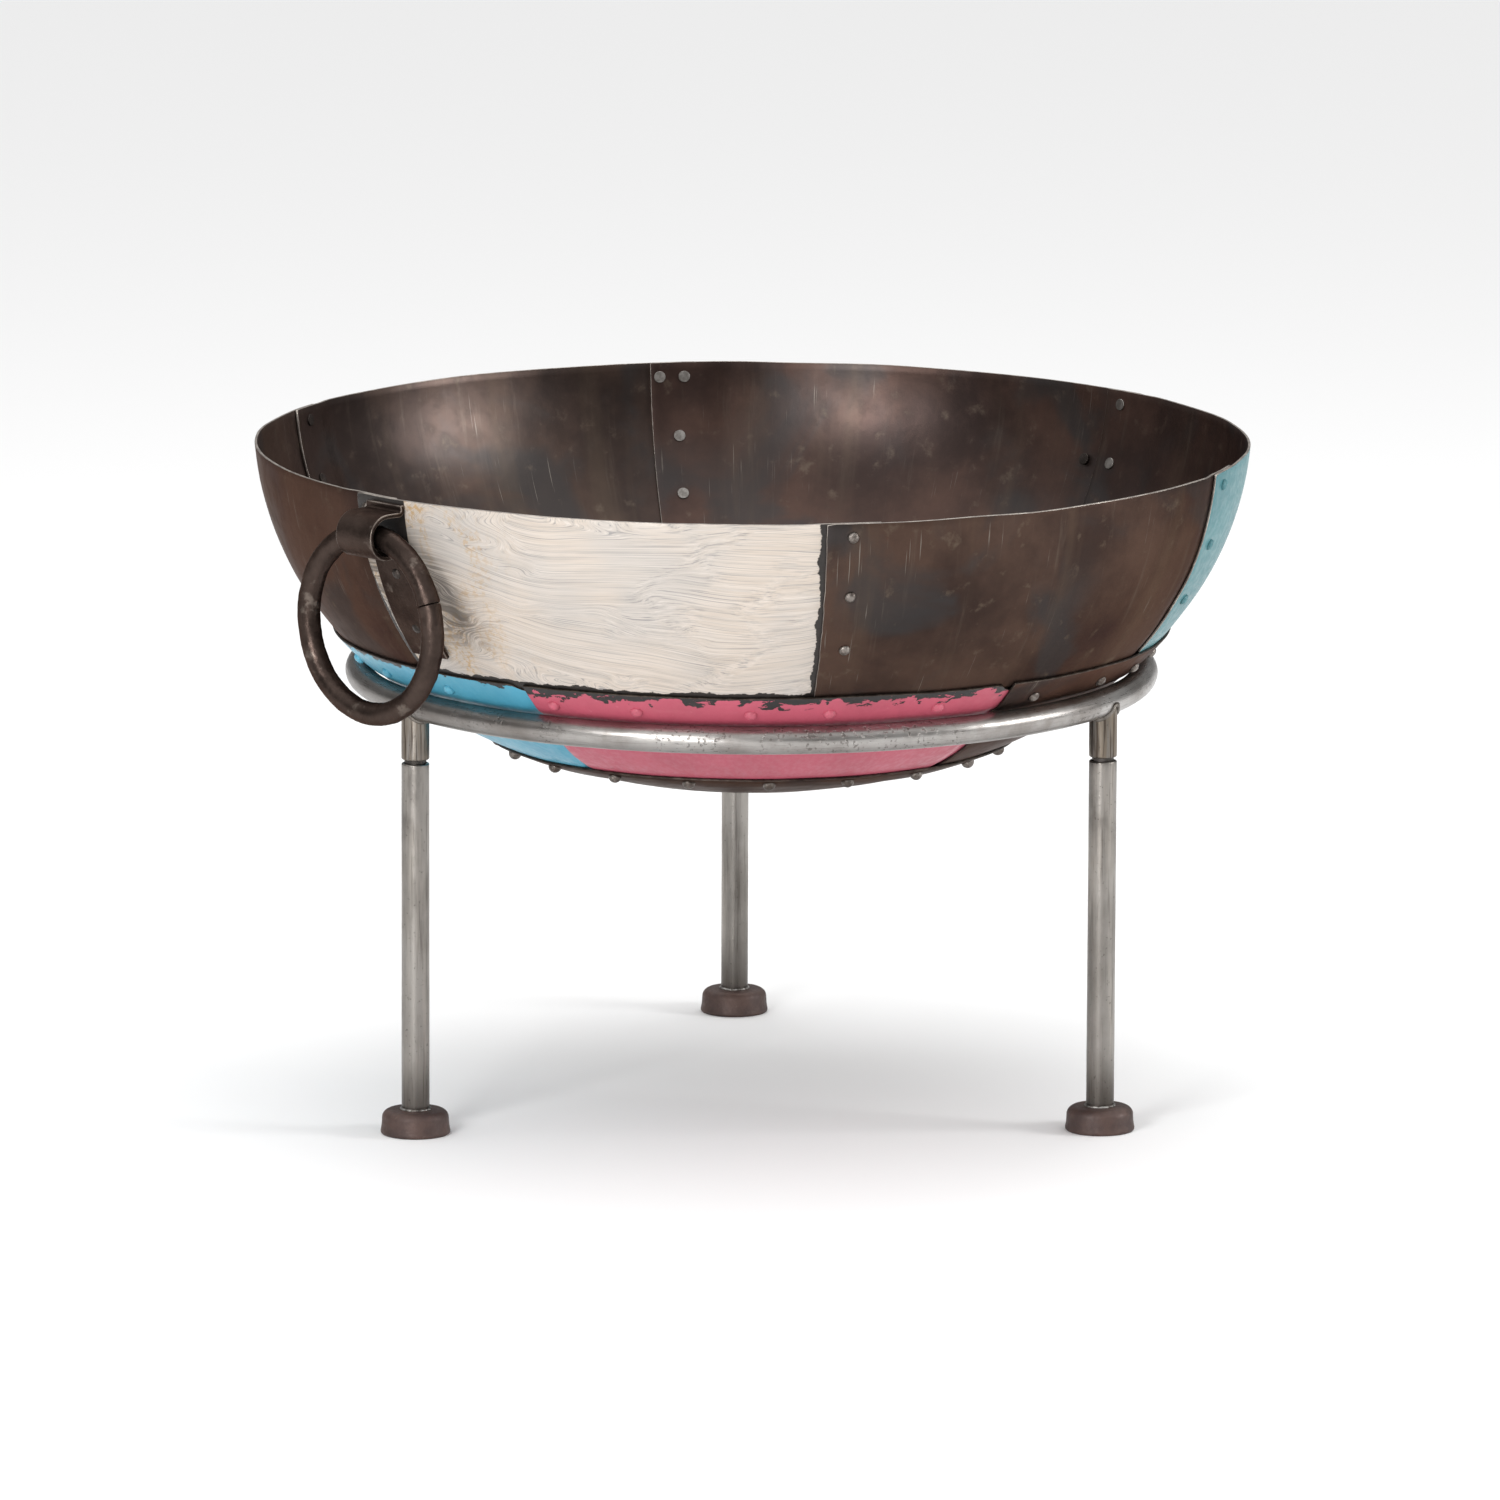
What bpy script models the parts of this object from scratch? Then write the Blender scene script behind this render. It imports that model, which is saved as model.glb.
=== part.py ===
"""Riveted fire bowl on a three-legged ring stand.

Metres, +Z up. The origin is on the floor, on the axis that the bowl and the stand share. An angle is counted
in degrees around that axis, from -Y (the front) towards +X. Two ring handles hang on opposite sides.

The bowl is made of bent sheets: a band of upper plates, a band of middle plates and a bottom dish. Each
plate's right margin is tucked behind the left margin of the next one, and rivets hold both. The bowl lies
loose in the ring of the stand, and each leg slides down off a spigot.
"""

import math

import bmesh
import bpy
from mathutils import Matrix, Vector

# Sheets
SHEET = 0.0020  # thickness
GAP = 0.0003  # left between two pieces that touch
LAYER = SHEET + GAP

# Outer skin of the bowl, a superellipse turned around the axis
SKIN_RADIUS = 0.4030
SKIN_DEPTH = 0.3035
SKIN_TOP = 0.5600  # height of the superellipse's centre, above the rim
SKIN_POWER = 2.1

# Heights of the bands' edges
RIM_Z = 0.5360
DIP_Z = 0.3980  # above it, an upper plate is never pushed in
MIDDLE_TOP_Z = 0.3860
UPPER_BOTTOM_Z = 0.3650
MIDDLE_FLAT_Z = 0.3560  # below it, a middle plate is back on the skin
DISH_TOP_Z = 0.2975

# Rows of facets. The upper band has one at each row of rivets
UPPER_ROWS = (RIM_Z, 0.5230, 0.4985, 0.4740, 0.4510, 0.4280, DIP_Z, MIDDLE_TOP_Z, UPPER_BOTTOM_Z)
MIDDLE_ROWS = (MIDDLE_TOP_Z, UPPER_BOTTOM_Z, MIDDLE_FLAT_Z, 0.3270, DISH_TOP_Z)

# Radii on the bottom dish
MIDDLE_BOTTOM_R = 0.1890
DISH_FLAT_R = 0.1750  # inside it, the dish is back on the skin
DISH_RADII = (MIDDLE_BOTTOM_R, DISH_FLAT_R, 0.0950, 0.0)

# Seams, as the angle of each plate's visible left edge
UPPER_SEAMS = (-53.3, 6.0, 64.5, 123.8, 183.7, 240.7)
MIDDLE_SEAMS = (-34.5, 35.5, 110.0, 172.0, 252.0)
MIDDLE_SLANTS = (-4.5, 7.0, 0.0, 0.0, 0.0)  # how far each seam has turned where it meets the dish
LAP = 6.3  # how far a plate reaches behind the next one
RAMP = 2.6  # how long it takes to step behind it
COLUMN = 8.0  # widest facet around the bowl
NEAREST = 2.5  # narrowest plain facet

# Rivets
SHANK_R = 0.0025
HOLE_R = 0.0029
HEAD_R = 0.0045
HEAD_HEIGHT = 0.0030
TAIL_R = 0.0047
TAIL_HEIGHT = 0.0015
HEAD_GAP = 0.0005
SEAM_RIVET_HEIGHTS = (0.5230, 0.4740, 0.4280)
SEAM_RIVET_SHIFT = 3.0  # from the seam, in degrees
CROWDED_RIVET_SHIFT = 1.45  # where the strap covers the rest of the lap
STRAP_SIDE_SHIFT = 3.8  # where the strap lies beside the row
PAIR_SHIFTS = (2.2, 5.2)  # where two rivets share the top of the back seam
STRAP_RIVET_SHIFT = 0.2  # from the strap's middle
STRAP_RIVET_HEIGHTS = (0.4740, 0.4280)
MIDDLE_RIVET_Z = 0.3710
MIDDLE_HEAD = (0.0050, 0.0036)  # radius and height
HEAD_SINK = 0.0012  # how deep a head that is one with its plate reaches into it
MIDDLE_RIVETS = (
    (-31.0, -18.5, -2.5, 8.5, 24.5),
    (41.0, 56.5, 68.0, 80.0, 95.0),
    (114.0, 128.0, 143.0, 158.0),
    (176.0, 190.0, 205.0, 220.0, 235.0),
    (256.0, 269.0, 282.0, 294.0, 310.0),
)
DISH_RIVET_R = 0.2040
DISH_RIVET_COUNT = 20
DISH_RIVET_START = 1.6
DISH_HEAD = (0.0052, 0.0055)
RIVET_SEGMENTS = 8
STUD_SEGMENTS = 6
DRILL_LENGTH = 0.0400

# Ring handles and their straps
HANDLE_ANGLES = (-48.05, 131.95)
HINGE_R = 0.4195
HINGE_Z = 0.5070
HANDLE_R = 0.0715  # to the middle of the bar
HANDLE_BAR_R = 0.0095
HANDLE_SPLIT = 19.5  # where the bar's ends meet, above the horizontal
HANDLE_SPLIT_GAP = 0.0008
HANDLE_SEGMENTS = 32
STRAP_WIDTH = 0.0405
STRAP_SHEET = 0.0036
STRAP_GAP = 0.0004
STRAP_TOP_Z = 0.5310
STRAP_BOTTOM_Z = 0.4040
EYE_Z = 0.5070
EYE_R = 0.0166  # to the middle of the strap
EYE_FILLET = 0.0035

# Stand
RING_R = 0.3170
RING_Z = 0.3482
TUBE_R = 0.0112
TUBE_WALL = 0.0020
RING_SEGMENTS = 48
RING_SIDES = 10
TUBE_SIDES = 12
LEG_ANGLES = (-60.0, 60.0, 180.0)
STUB_BOTTOM_Z = 0.3045
LEG_TOP_Z = 0.3015
TUBE_CHAMFER = 0.0012
SPIGOT_R = 0.0088
SPIGOT_TOP_Z = 0.3310
SPIGOT_BOTTOM_Z = 0.2515
SPIGOT_CHAMFER = 0.0020
FOOT_R = 0.0270
FOOT_HEIGHT = 0.0195
FOOT_ROUND = 0.0050
FOOT_FLARE = 0.0010
FOOT_BASE = (0.0060, 0.0020)  # heights between which the foot flares
FOOT_SIDES = 16

# Colours (linear), roughness, metallic
FINISHES = {
    "cream_paint": ((0.62, 0.54, 0.45), 0.6, 0.0),
    "turquoise_paint": ((0.07, 0.36, 0.47), 0.5, 0.0),
    "pink_paint": ((0.50, 0.10, 0.15), 0.5, 0.0),
    "blue_paint": ((0.05, 0.33, 0.47), 0.5, 0.0),
    "brown_steel": ((0.09, 0.075, 0.065), 0.5, 0.8),
    "grey_steel": ((0.30, 0.29, 0.28), 0.4, 1.0),
    "bright_steel": ((0.45, 0.44, 0.43), 0.35, 1.0),
    "forged_iron": ((0.06, 0.05, 0.045), 0.55, 0.8),
    "cast_iron": ((0.08, 0.05, 0.045), 0.7, 0.4),
}
UPPER_FINISHES = ("cream_paint", "brown_steel", "turquoise_paint") + ("brown_steel",) * 3
MIDDLE_FINISHES = ("pink_paint", "brown_steel", "brown_steel", "brown_steel", "blue_paint")


# ---------------------------------------------------------------- the bowl's skin


def theta_at_height(z):
    """The superellipse's parameter at this height: 0 where it is widest, a quarter turn at its bottom."""
    return math.asin(((SKIN_TOP - z) / SKIN_DEPTH) ** (SKIN_POWER / 2))


def theta_at_radius(r):
    return math.acos((r / SKIN_RADIUS) ** (SKIN_POWER / 2))


def skin(theta, out=0.0):
    """(radius, height) on the skin, moved outwards along its normal."""
    r = SKIN_RADIUS * math.cos(theta) ** (2 / SKIN_POWER)
    depth = SKIN_DEPTH * math.sin(theta) ** (2 / SKIN_POWER)
    slope_r = r ** (SKIN_POWER - 1) / SKIN_RADIUS**SKIN_POWER
    slope_z = depth ** (SKIN_POWER - 1) / SKIN_DEPTH**SKIN_POWER
    length = math.hypot(slope_r, slope_z)
    return r + out * slope_r / length, SKIN_TOP - depth - out * slope_z / length


def outward(angle):
    return Vector((math.sin(math.radians(angle)), -math.cos(math.radians(angle)), 0))


def tangent(angle):
    return Vector((math.cos(math.radians(angle)), math.sin(math.radians(angle)), 0))


def on_skin(angle, theta, out=0.0):
    r, z = skin(theta, out)
    return outward(angle) * r + Vector((0, 0, z))


def skin_frame(angle, theta, out=0.0):
    """A matrix whose origin is on the skin and whose local Z points out of the bowl."""
    here = on_skin(angle, theta, out)
    normal = (on_skin(angle, theta, out + 0.01) - here).normalized()
    side = tangent(angle)
    return Matrix.Translation(here) @ Matrix((side, normal.cross(side), normal)).transposed().to_4x4()


# ---------------------------------------------------------------- the laps


def ramp(value, start, end):
    """0 before start, 1 after end, straight between them. It also works from high to low."""
    return min(1.0, max(0.0, (value - start) / (end - start)))


def turned(angle, start):
    """The angle counted onwards from start, from -180 to 180."""
    return (angle - start + 180) % 360 - 180


def tucked(angle, seam):
    """1 where a plate lies behind the one that starts at this seam."""
    return ramp(turned(angle, seam), -RAMP, 0)


def lapped(angle, seams):
    """1 over the laps of these seams, with a ramp on both sides."""
    most = 0.0
    for seam in seams:
        past = turned(angle, seam)
        most = max(most, min(ramp(past, -RAMP, 0), ramp(past, LAP + RAMP, LAP)))
    return most


def columns(start, end):
    """Angles from start to end. Every layer has the same ones, so that lapped sheets stay parallel."""
    marks = {start, end}
    edges = [seam + step for seam in UPPER_SEAMS + MIDDLE_SEAMS for step in (-RAMP, 0, LAP, LAP + RAMP)]
    rivet_rows = [seam + LAP / 2 for seam in UPPER_SEAMS]
    for mark in edges + rivet_rows:
        marks.update([mark + turn for turn in (-360, 0, 360) if start < mark + turn < end])
    plain = [COLUMN * i for i in range(math.ceil(start / COLUMN), math.ceil(end / COLUMN))]
    marks.update([angle for angle in plain if min(abs(angle - mark) for mark in marks) > NEAREST])
    return sorted(marks)


def slanted(angle, theta):
    """The angle, turned with the slanting seams of the middle band."""
    seams = [MIDDLE_SEAMS[-1] - 360, *MIDDLE_SEAMS, MIDDLE_SEAMS[0] + 360]
    slants = [MIDDLE_SLANTS[-1], *MIDDLE_SLANTS, MIDDLE_SLANTS[0]]
    place = seams[0] + (angle - seams[0]) % 360
    for seam, after, slant, slant_after in zip(seams, seams[1:], slants, slants[1:]):
        if seam <= place <= after:
            share = (place - seam) / (after - seam)
            full = slant + share * (slant_after - slant)
            break
    drop = ramp(theta, theta_at_height(MIDDLE_FLAT_Z), theta_at_height(DISH_TOP_Z))
    return angle + full * drop


def upper_offset(angle, theta, index):
    """How far a point of an upper plate is from the skin."""
    behind = tucked(angle, UPPER_SEAMS[(index + 1) % len(UPPER_SEAMS)])
    pushed = lapped(angle, MIDDLE_SEAMS) * ramp(theta, theta_at_height(DIP_Z), theta_at_height(MIDDLE_TOP_Z))
    return -LAYER * (behind + pushed)


def middle_offset(angle, theta, index):
    over = ramp(theta, theta_at_height(MIDDLE_FLAT_Z), theta_at_height(UPPER_BOTTOM_Z))
    return LAYER * (over - tucked(angle, MIDDLE_SEAMS[(index + 1) % len(MIDDLE_SEAMS)]))


def dish_offset(theta):
    return LAYER * ramp(theta, theta_at_radius(DISH_FLAT_R), theta_at_radius(MIDDLE_BOTTOM_R))


# ---------------------------------------------------------------- Blender


def clear_scene():
    for obj in list(bpy.data.objects):
        bpy.data.objects.remove(obj, do_unlink=True)


def new_collection(name):
    collection = bpy.data.collections.new(name)
    bpy.context.scene.collection.children.link(collection)
    return collection


def make_material(name):
    colour, roughness, metallic = FINISHES[name]
    material = bpy.data.materials.new(name)
    material.use_nodes = True
    shader = material.node_tree.nodes["Principled BSDF"]
    shader.inputs["Base Color"].default_value = (*colour, 1)
    shader.inputs["Roughness"].default_value = roughness
    shader.inputs["Metallic"].default_value = metallic
    material.diffuse_color = (*colour, 1)
    return material


clear_scene()
PARTS = new_collection("fire_bowl")
CUTTERS = new_collection("cutters")
MATERIALS = {name: make_material(name) for name in FINISHES}


def new_body(name, place=(0, 0, 0)):
    """An empty that the pieces of one moving body are parented to, on its joint's axis."""
    body = bpy.data.objects.new(name, None)
    body.location = place
    body.empty_display_size = 0.05
    PARTS.objects.link(body)
    return body


def add_mesh(bm, name, collection=PARTS):
    mesh = bpy.data.meshes.new(name)
    bm.to_mesh(mesh)
    bm.free()
    obj = bpy.data.objects.new(name, mesh)
    collection.objects.link(obj)
    return obj


def finish(obj, material, body):
    obj.data.materials.append(MATERIALS[material])
    obj.parent = body
    obj.matrix_parent_inverse = Matrix.Translation(-body.location)
    return obj


def smooth(obj):
    obj.data.shade_smooth()
    obj.data.set_sharp_from_angle(angle=math.radians(35))


def as_cutter(obj):
    obj.hide_render = True
    obj.display_type = "WIRE"
    return obj


def add_boolean(obj, other, operation):
    modifier = obj.modifiers.new(operation.lower(), "BOOLEAN")
    modifier.operation = operation
    modifier.object = other


def open_sheet(across, along, place):
    """A grid with a point for each of across and along, moved by place(across value, along value)."""
    bm = bmesh.new()
    bmesh.ops.create_grid(bm, x_segments=len(across) - 1, y_segments=len(along) - 1, size=0.5)
    for vert in bm.verts:
        i = round((vert.co.x + 0.5) * (len(across) - 1))
        j = round((vert.co.y + 0.5) * (len(along) - 1))
        vert.co = place(across[i], along[j])
    bmesh.ops.remove_doubles(bm, verts=bm.verts, dist=1e-6)
    return bm


def thicken(obj, thickness):
    """Gives an open sheet its thickness, on the side that its faces turn their backs to."""
    modifier = obj.modifiers.new("thickness", "SOLIDIFY")
    modifier.thickness = thickness
    modifier.offset = -1
    modifier.use_even_offset = True


def turned_shape(name, profile, steps, collection=PARTS):
    """A profile of (radius, height) pairs, down its outer side, turned around Z."""
    bm = bmesh.new()
    verts = [bm.verts.new((r, 0, z)) for r, z in profile]
    for one, other in zip(verts, verts[1:]):
        bm.edges.new((one, other))
    obj = add_mesh(bm, name, collection)
    screw = obj.modifiers.new("turn", "SCREW")
    screw.steps = steps
    screw.render_steps = steps
    screw.use_merge_vertices = True
    screw.merge_threshold = 1e-5
    screw.use_smooth_shade = False
    return obj


def turned_tube(name, bottom, top, outer, inner, steps):
    """A tube whose outer edges are chamfered."""
    profile = [
        (inner, top),
        (outer - TUBE_CHAMFER, top),
        (outer, top - TUBE_CHAMFER),
        (outer, bottom + TUBE_CHAMFER),
        (outer - TUBE_CHAMFER, bottom),
        (inner, bottom),
        (inner, top),
    ]
    return turned_shape(name, profile, steps)


def arc(centre, radius, start, end, steps):
    """Points on an arc, in degrees from the first axis towards the second."""
    points = []
    for i in range(steps + 1):
        angle = math.radians(start + (end - start) * i / steps)
        points.append((centre[0] + radius * math.cos(angle), centre[1] + radius * math.sin(angle)))
    return points


def drill(obj, places):
    """Rivet holes at these matrices, along their Z."""
    bm = bmesh.new()
    for place in places:
        bmesh.ops.create_cone(
            bm,
            cap_ends=True,
            segments=RIVET_SEGMENTS,
            radius1=HOLE_R,
            radius2=HOLE_R,
            depth=DRILL_LENGTH,
            matrix=place,
        )
    add_boolean(obj, as_cutter(add_mesh(bm, obj.name + "_holes", CUTTERS)), "DIFFERENCE")


def stud(obj, places, head):
    """Domed rivet heads that are one with the plate."""
    radius, height = head
    bm = bmesh.new()
    for place in places:
        dome = bmesh.ops.create_uvsphere(bm, u_segments=STUD_SEGMENTS, v_segments=4, radius=1)
        for vert in dome["verts"]:
            across, aside, up = vert.co
            above = up * height if up > 0.01 else -HEAD_SINK
            vert.co = place @ Vector((across * radius, aside * radius, above))
    add_boolean(obj, as_cutter(add_mesh(bm, obj.name + "_heads", CUTTERS)), "UNION")


# ---------------------------------------------------------------- pieces of the bowl


def seam_rivets(index):
    """(angle, height) of one upper seam's rivets. The strap's own rivets hold the rest of the first seam."""
    seam = UPPER_SEAMS[index]
    if index == 0:
        return [(seam + CROWDED_RIVET_SHIFT, SEAM_RIVET_HEIGHTS[0])]
    if index == 3:
        return [(seam + STRAP_SIDE_SHIFT, z) for z in SEAM_RIVET_HEIGHTS]
    rivets = [(seam + SEAM_RIVET_SHIFT, z) for z in SEAM_RIVET_HEIGHTS]
    if index == 4:
        rivets[0] = (seam + PAIR_SHIFTS[0], SEAM_RIVET_HEIGHTS[0])
        rivets.append((seam + PAIR_SHIFTS[1], SEAM_RIVET_HEIGHTS[0]))
    return rivets


def strap_rivets(index):
    return [(HANDLE_ANGLES[index] + STRAP_RIVET_SHIFT, z) for z in STRAP_RIVET_HEIGHTS]


def near(angle, start, end):
    """Whether the angle is between start and end, whatever full turns are between them."""
    return 0 <= (angle - start) % 360 <= end - start


def hole_frames(rivets, start, end):
    return [skin_frame(angle, theta_at_height(z)) for angle, z in rivets if near(angle, start, end)]


def make_upper_plate(index, body):
    count = len(UPPER_SEAMS)
    start = UPPER_SEAMS[index]
    end = UPPER_SEAMS[(index + 1) % count] + LAP + (360 if index == count - 1 else 0)
    thetas = [theta_at_height(z) for z in UPPER_ROWS]
    name = f"upper_plate_{index + 1}"
    bm = open_sheet(
        columns(start, end), thetas[::-1], lambda a, th: on_skin(a, th, upper_offset(a, th, index))
    )
    obj = add_mesh(bm, name)
    thicken(obj, SHEET)
    all_rivets = [rivet for i in range(count) for rivet in seam_rivets(i)]
    all_rivets += strap_rivets(0) + strap_rivets(1)
    drill(obj, hole_frames(all_rivets, start, end))
    return finish(obj, UPPER_FINISHES[index], body)


def make_middle_plate(index, body):
    count = len(MIDDLE_SEAMS)
    start = MIDDLE_SEAMS[index]
    end = MIDDLE_SEAMS[(index + 1) % count] + LAP + (360 if index == count - 1 else 0)
    thetas = [theta_at_height(z) for z in MIDDLE_ROWS]
    thetas.append(theta_at_radius(MIDDLE_BOTTOM_R))
    name = f"middle_plate_{index + 1}"
    bm = open_sheet(
        columns(start, end),
        thetas[::-1],
        lambda a, th: on_skin(slanted(a, th), th, middle_offset(a, th, index)),
    )
    obj = add_mesh(bm, name)
    thicken(obj, SHEET)
    theta = theta_at_height(MIDDLE_RIVET_Z)
    stud(obj, [skin_frame(a, theta, LAYER) for a in MIDDLE_RIVETS[index]], MIDDLE_HEAD)
    return finish(obj, MIDDLE_FINISHES[index], body)


def make_bottom_dish(body):
    thetas = [theta_at_height(DISH_TOP_Z)] + [theta_at_radius(r) for r in DISH_RADII]
    start = MIDDLE_SEAMS[0]
    bm = open_sheet(
        columns(start, start + 360),
        thetas[::-1],
        lambda a, th: on_skin(slanted(a, th), th, dish_offset(th)),
    )
    obj = add_mesh(bm, "bottom_dish")
    thicken(obj, SHEET)
    theta = theta_at_radius(DISH_RIVET_R)
    angles = [DISH_RIVET_START + 360 * i / DISH_RIVET_COUNT for i in range(DISH_RIVET_COUNT)]
    stud(obj, [skin_frame(a, theta, LAYER) for a in angles], DISH_HEAD)
    return finish(obj, "brown_steel", body)


def make_rivet(name, angle, z, grip, out, body):
    """A rivet through grip metres of sheet, whose outer face is out metres from the skin."""
    dome = arc((0, 0), 1, 90, 0, 2)
    inside = -grip - HEAD_GAP
    profile = [(0, HEAD_HEIGHT)]
    profile += [(HEAD_R * across, HEAD_GAP + (HEAD_HEIGHT - HEAD_GAP) * up) for across, up in dome[1:]]
    profile += [
        (SHANK_R, HEAD_GAP),
        (SHANK_R, inside),
        (TAIL_R, inside),
        (TAIL_R, inside - TAIL_HEIGHT),
        (0, inside - TAIL_HEIGHT),
    ]
    obj = turned_shape(name, profile, RIVET_SEGMENTS)
    place = skin_frame(angle, theta_at_height(z), out)
    finish(obj, "brown_steel", body)
    obj.matrix_basis = Matrix.Translation(place.translation) @ place.to_3x3().to_4x4()
    return obj


def make_seam_rivets(body):
    for index in range(len(UPPER_SEAMS)):
        for number, (angle, z) in enumerate(seam_rivets(index)):
            name = f"seam_{index + 1}_rivet_{number + 1}"
            make_rivet(name, angle, z, SHEET + LAYER, 0, body)


# ---------------------------------------------------------------- handles


def strap_path():
    """(distance from the axis, height) along the middle of the strap, from its top end to its bottom end."""
    out = STRAP_GAP + STRAP_SHEET / 2
    top = EYE_Z + EYE_R
    low = EYE_Z - EYE_R
    wall_top = skin(theta_at_height(top + EYE_FILLET), out)[0]
    wall_low = skin(theta_at_height(low - EYE_FILLET), out)[0]
    path = [skin(theta_at_height(STRAP_TOP_Z), out)]
    path += arc((wall_top + EYE_FILLET, top + EYE_FILLET), EYE_FILLET, 180, 270, 3)
    path += arc((HINGE_R, EYE_Z), EYE_R, 90, -90, 10)
    path += arc((wall_low + EYE_FILLET, low - EYE_FILLET), EYE_FILLET, 90, 180, 3)
    tail_top = low - EYE_FILLET
    for i in range(1, 5):
        z = tail_top + (STRAP_BOTTOM_Z - tail_top) * i / 4
        path.append(skin(theta_at_height(z), out))
    return path


def make_strap(index, body):
    angle = HANDLE_ANGLES[index]
    path = strap_path()

    def place(across, step):
        r, z = path[step]
        return outward(angle) * r + tangent(angle) * across + Vector((0, 0, z))

    name = f"handle_strap_{index + 1}"
    bm = open_sheet((-STRAP_WIDTH / 2, STRAP_WIDTH / 2), range(len(path))[::-1], place)
    obj = add_mesh(bm, name)
    thicken(obj, STRAP_SHEET)
    obj.modifiers["thickness"].offset = 0
    rivets = strap_rivets(index)
    drill(obj, [skin_frame(a, theta_at_height(z)) for a, z in rivets])
    finish(obj, "forged_iron", body)
    grip = STRAP_GAP + STRAP_SHEET + SHEET + LAYER
    for number, (a, z) in enumerate(rivets):
        make_rivet(f"strap_{index + 1}_rivet_{number + 1}", a, z, grip, STRAP_GAP + STRAP_SHEET, body)


def mesh_from_curve(curve_obj, name):
    """A mesh object in place of a curve, with its caps welded on."""
    bpy.context.view_layer.update()
    evaluated = curve_obj.evaluated_get(bpy.context.evaluated_depsgraph_get())
    mesh = bpy.data.meshes.new_from_object(evaluated)
    obj = bpy.data.objects.new(name, mesh)
    obj.matrix_world = curve_obj.matrix_world.copy()
    bpy.data.objects.remove(curve_obj, do_unlink=True)
    bm = bmesh.new()
    bm.from_mesh(mesh)
    bmesh.ops.remove_doubles(bm, verts=bm.verts, dist=1e-6)
    bm.to_mesh(mesh)
    bm.free()
    PARTS.objects.link(obj)
    return obj


def make_handle_ring(index, body):
    """A rod bent into a ring, which ends where it began with a thin gap."""
    angle = HANDLE_ANGLES[index]
    open_angle = math.degrees(HANDLE_SPLIT_GAP / HANDLE_R) / 2
    first, last = HANDLE_SPLIT + open_angle, HANDLE_SPLIT + 360 - open_angle
    points = arc((0, -HANDLE_R), HANDLE_R, first, last, HANDLE_SEGMENTS)
    name = f"handle_ring_{index + 1}"
    curve = bpy.data.curves.new(name + "_bar", "CURVE")
    curve.dimensions = "3D"
    curve.bevel_depth = HANDLE_BAR_R
    curve.bevel_resolution = 2
    curve.use_fill_caps = True
    spline = curve.splines.new("POLY")
    spline.points.add(len(points) - 1)
    for point, (across, up) in zip(spline.points, points):
        point.co = (*(tangent(angle) * across + Vector((0, 0, up))), 1)
    bar = bpy.data.objects.new(name + "_bar", curve)
    PARTS.objects.link(bar)
    obj = mesh_from_curve(bar, name)
    smooth(obj)
    obj.data.materials.append(MATERIALS["forged_iron"])
    obj.parent = body


# ---------------------------------------------------------------- stand


def add_torus(name, tube_radius, collection):
    bpy.ops.mesh.primitive_torus_add(
        location=(0, 0, RING_Z),
        major_radius=RING_R,
        minor_radius=tube_radius,
        major_segments=RING_SEGMENTS,
        minor_segments=RING_SIDES,
    )
    obj = bpy.context.object
    obj.name = name
    obj.users_collection[0].objects.unlink(obj)
    collection.objects.link(obj)
    return obj


def make_stand_ring(body):
    obj = add_torus("stand_ring", TUBE_R, PARTS)
    smooth(obj)
    return finish(obj, "bright_steel", body)


def make_ring_clearance():
    """The ring's tube with a gap around it, to cope the tops of the stubs."""
    return as_cutter(add_torus("ring_clearance", TUBE_R + GAP, CUTTERS))


def make_leg(number, angle, stand, clearance):
    foot_point = outward(angle) * RING_R
    inner = TUBE_R - TUBE_WALL

    stub = turned_tube(f"leg_stub_{number}", STUB_BOTTOM_Z, RING_Z, TUBE_R, inner, TUBE_SIDES)
    stub.location = foot_point
    add_boolean(stub, clearance, "DIFFERENCE")
    finish(stub, "grey_steel", stand)

    profile = [
        (0, SPIGOT_TOP_Z),
        (SPIGOT_R, SPIGOT_TOP_Z),
        (SPIGOT_R, SPIGOT_BOTTOM_Z + SPIGOT_CHAMFER),
        (SPIGOT_R - SPIGOT_CHAMFER, SPIGOT_BOTTOM_Z),
        (0, SPIGOT_BOTTOM_Z),
    ]
    spigot = turned_shape(f"leg_spigot_{number}", profile, TUBE_SIDES)
    spigot.location = foot_point
    finish(spigot, "grey_steel", stand)

    body = new_body(f"leg_{number}", foot_point)
    tube = turned_tube(f"leg_tube_{number}", FOOT_HEIGHT + GAP, LEG_TOP_Z, TUBE_R, inner, TUBE_SIDES)
    tube.parent = body
    tube.data.materials.append(MATERIALS["grey_steel"])

    rounded = arc((FOOT_R - FOOT_ROUND, FOOT_HEIGHT - FOOT_ROUND), FOOT_ROUND, 90, 0, 2)
    base_top, base_low = FOOT_BASE
    base = [(FOOT_R, base_top), (FOOT_R + FOOT_FLARE, base_low), (FOOT_R + FOOT_FLARE, 0), (0, 0)]
    foot = turned_shape(f"foot_{number}", [(0, FOOT_HEIGHT), *rounded, *base], FOOT_SIDES)
    foot.parent = body
    foot.data.materials.append(MATERIALS["cast_iron"])


def main():
    stand = new_body("stand")
    make_stand_ring(stand)
    clearance = make_ring_clearance()
    for number, angle in enumerate(LEG_ANGLES, 1):
        make_leg(number, angle, stand, clearance)

    bowl = new_body("bowl")
    for index in range(len(UPPER_SEAMS)):
        make_upper_plate(index, bowl)
    for index in range(len(MIDDLE_SEAMS)):
        make_middle_plate(index, bowl)
    make_bottom_dish(bowl)
    make_seam_rivets(bowl)

    for index, angle in enumerate(HANDLE_ANGLES):
        make_strap(index, bowl)
        hinge = new_body(f"handle_{index + 1}", outward(angle) * HINGE_R + Vector((0, 0, HINGE_Z)))
        make_handle_ring(index, hinge)


main()
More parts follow.
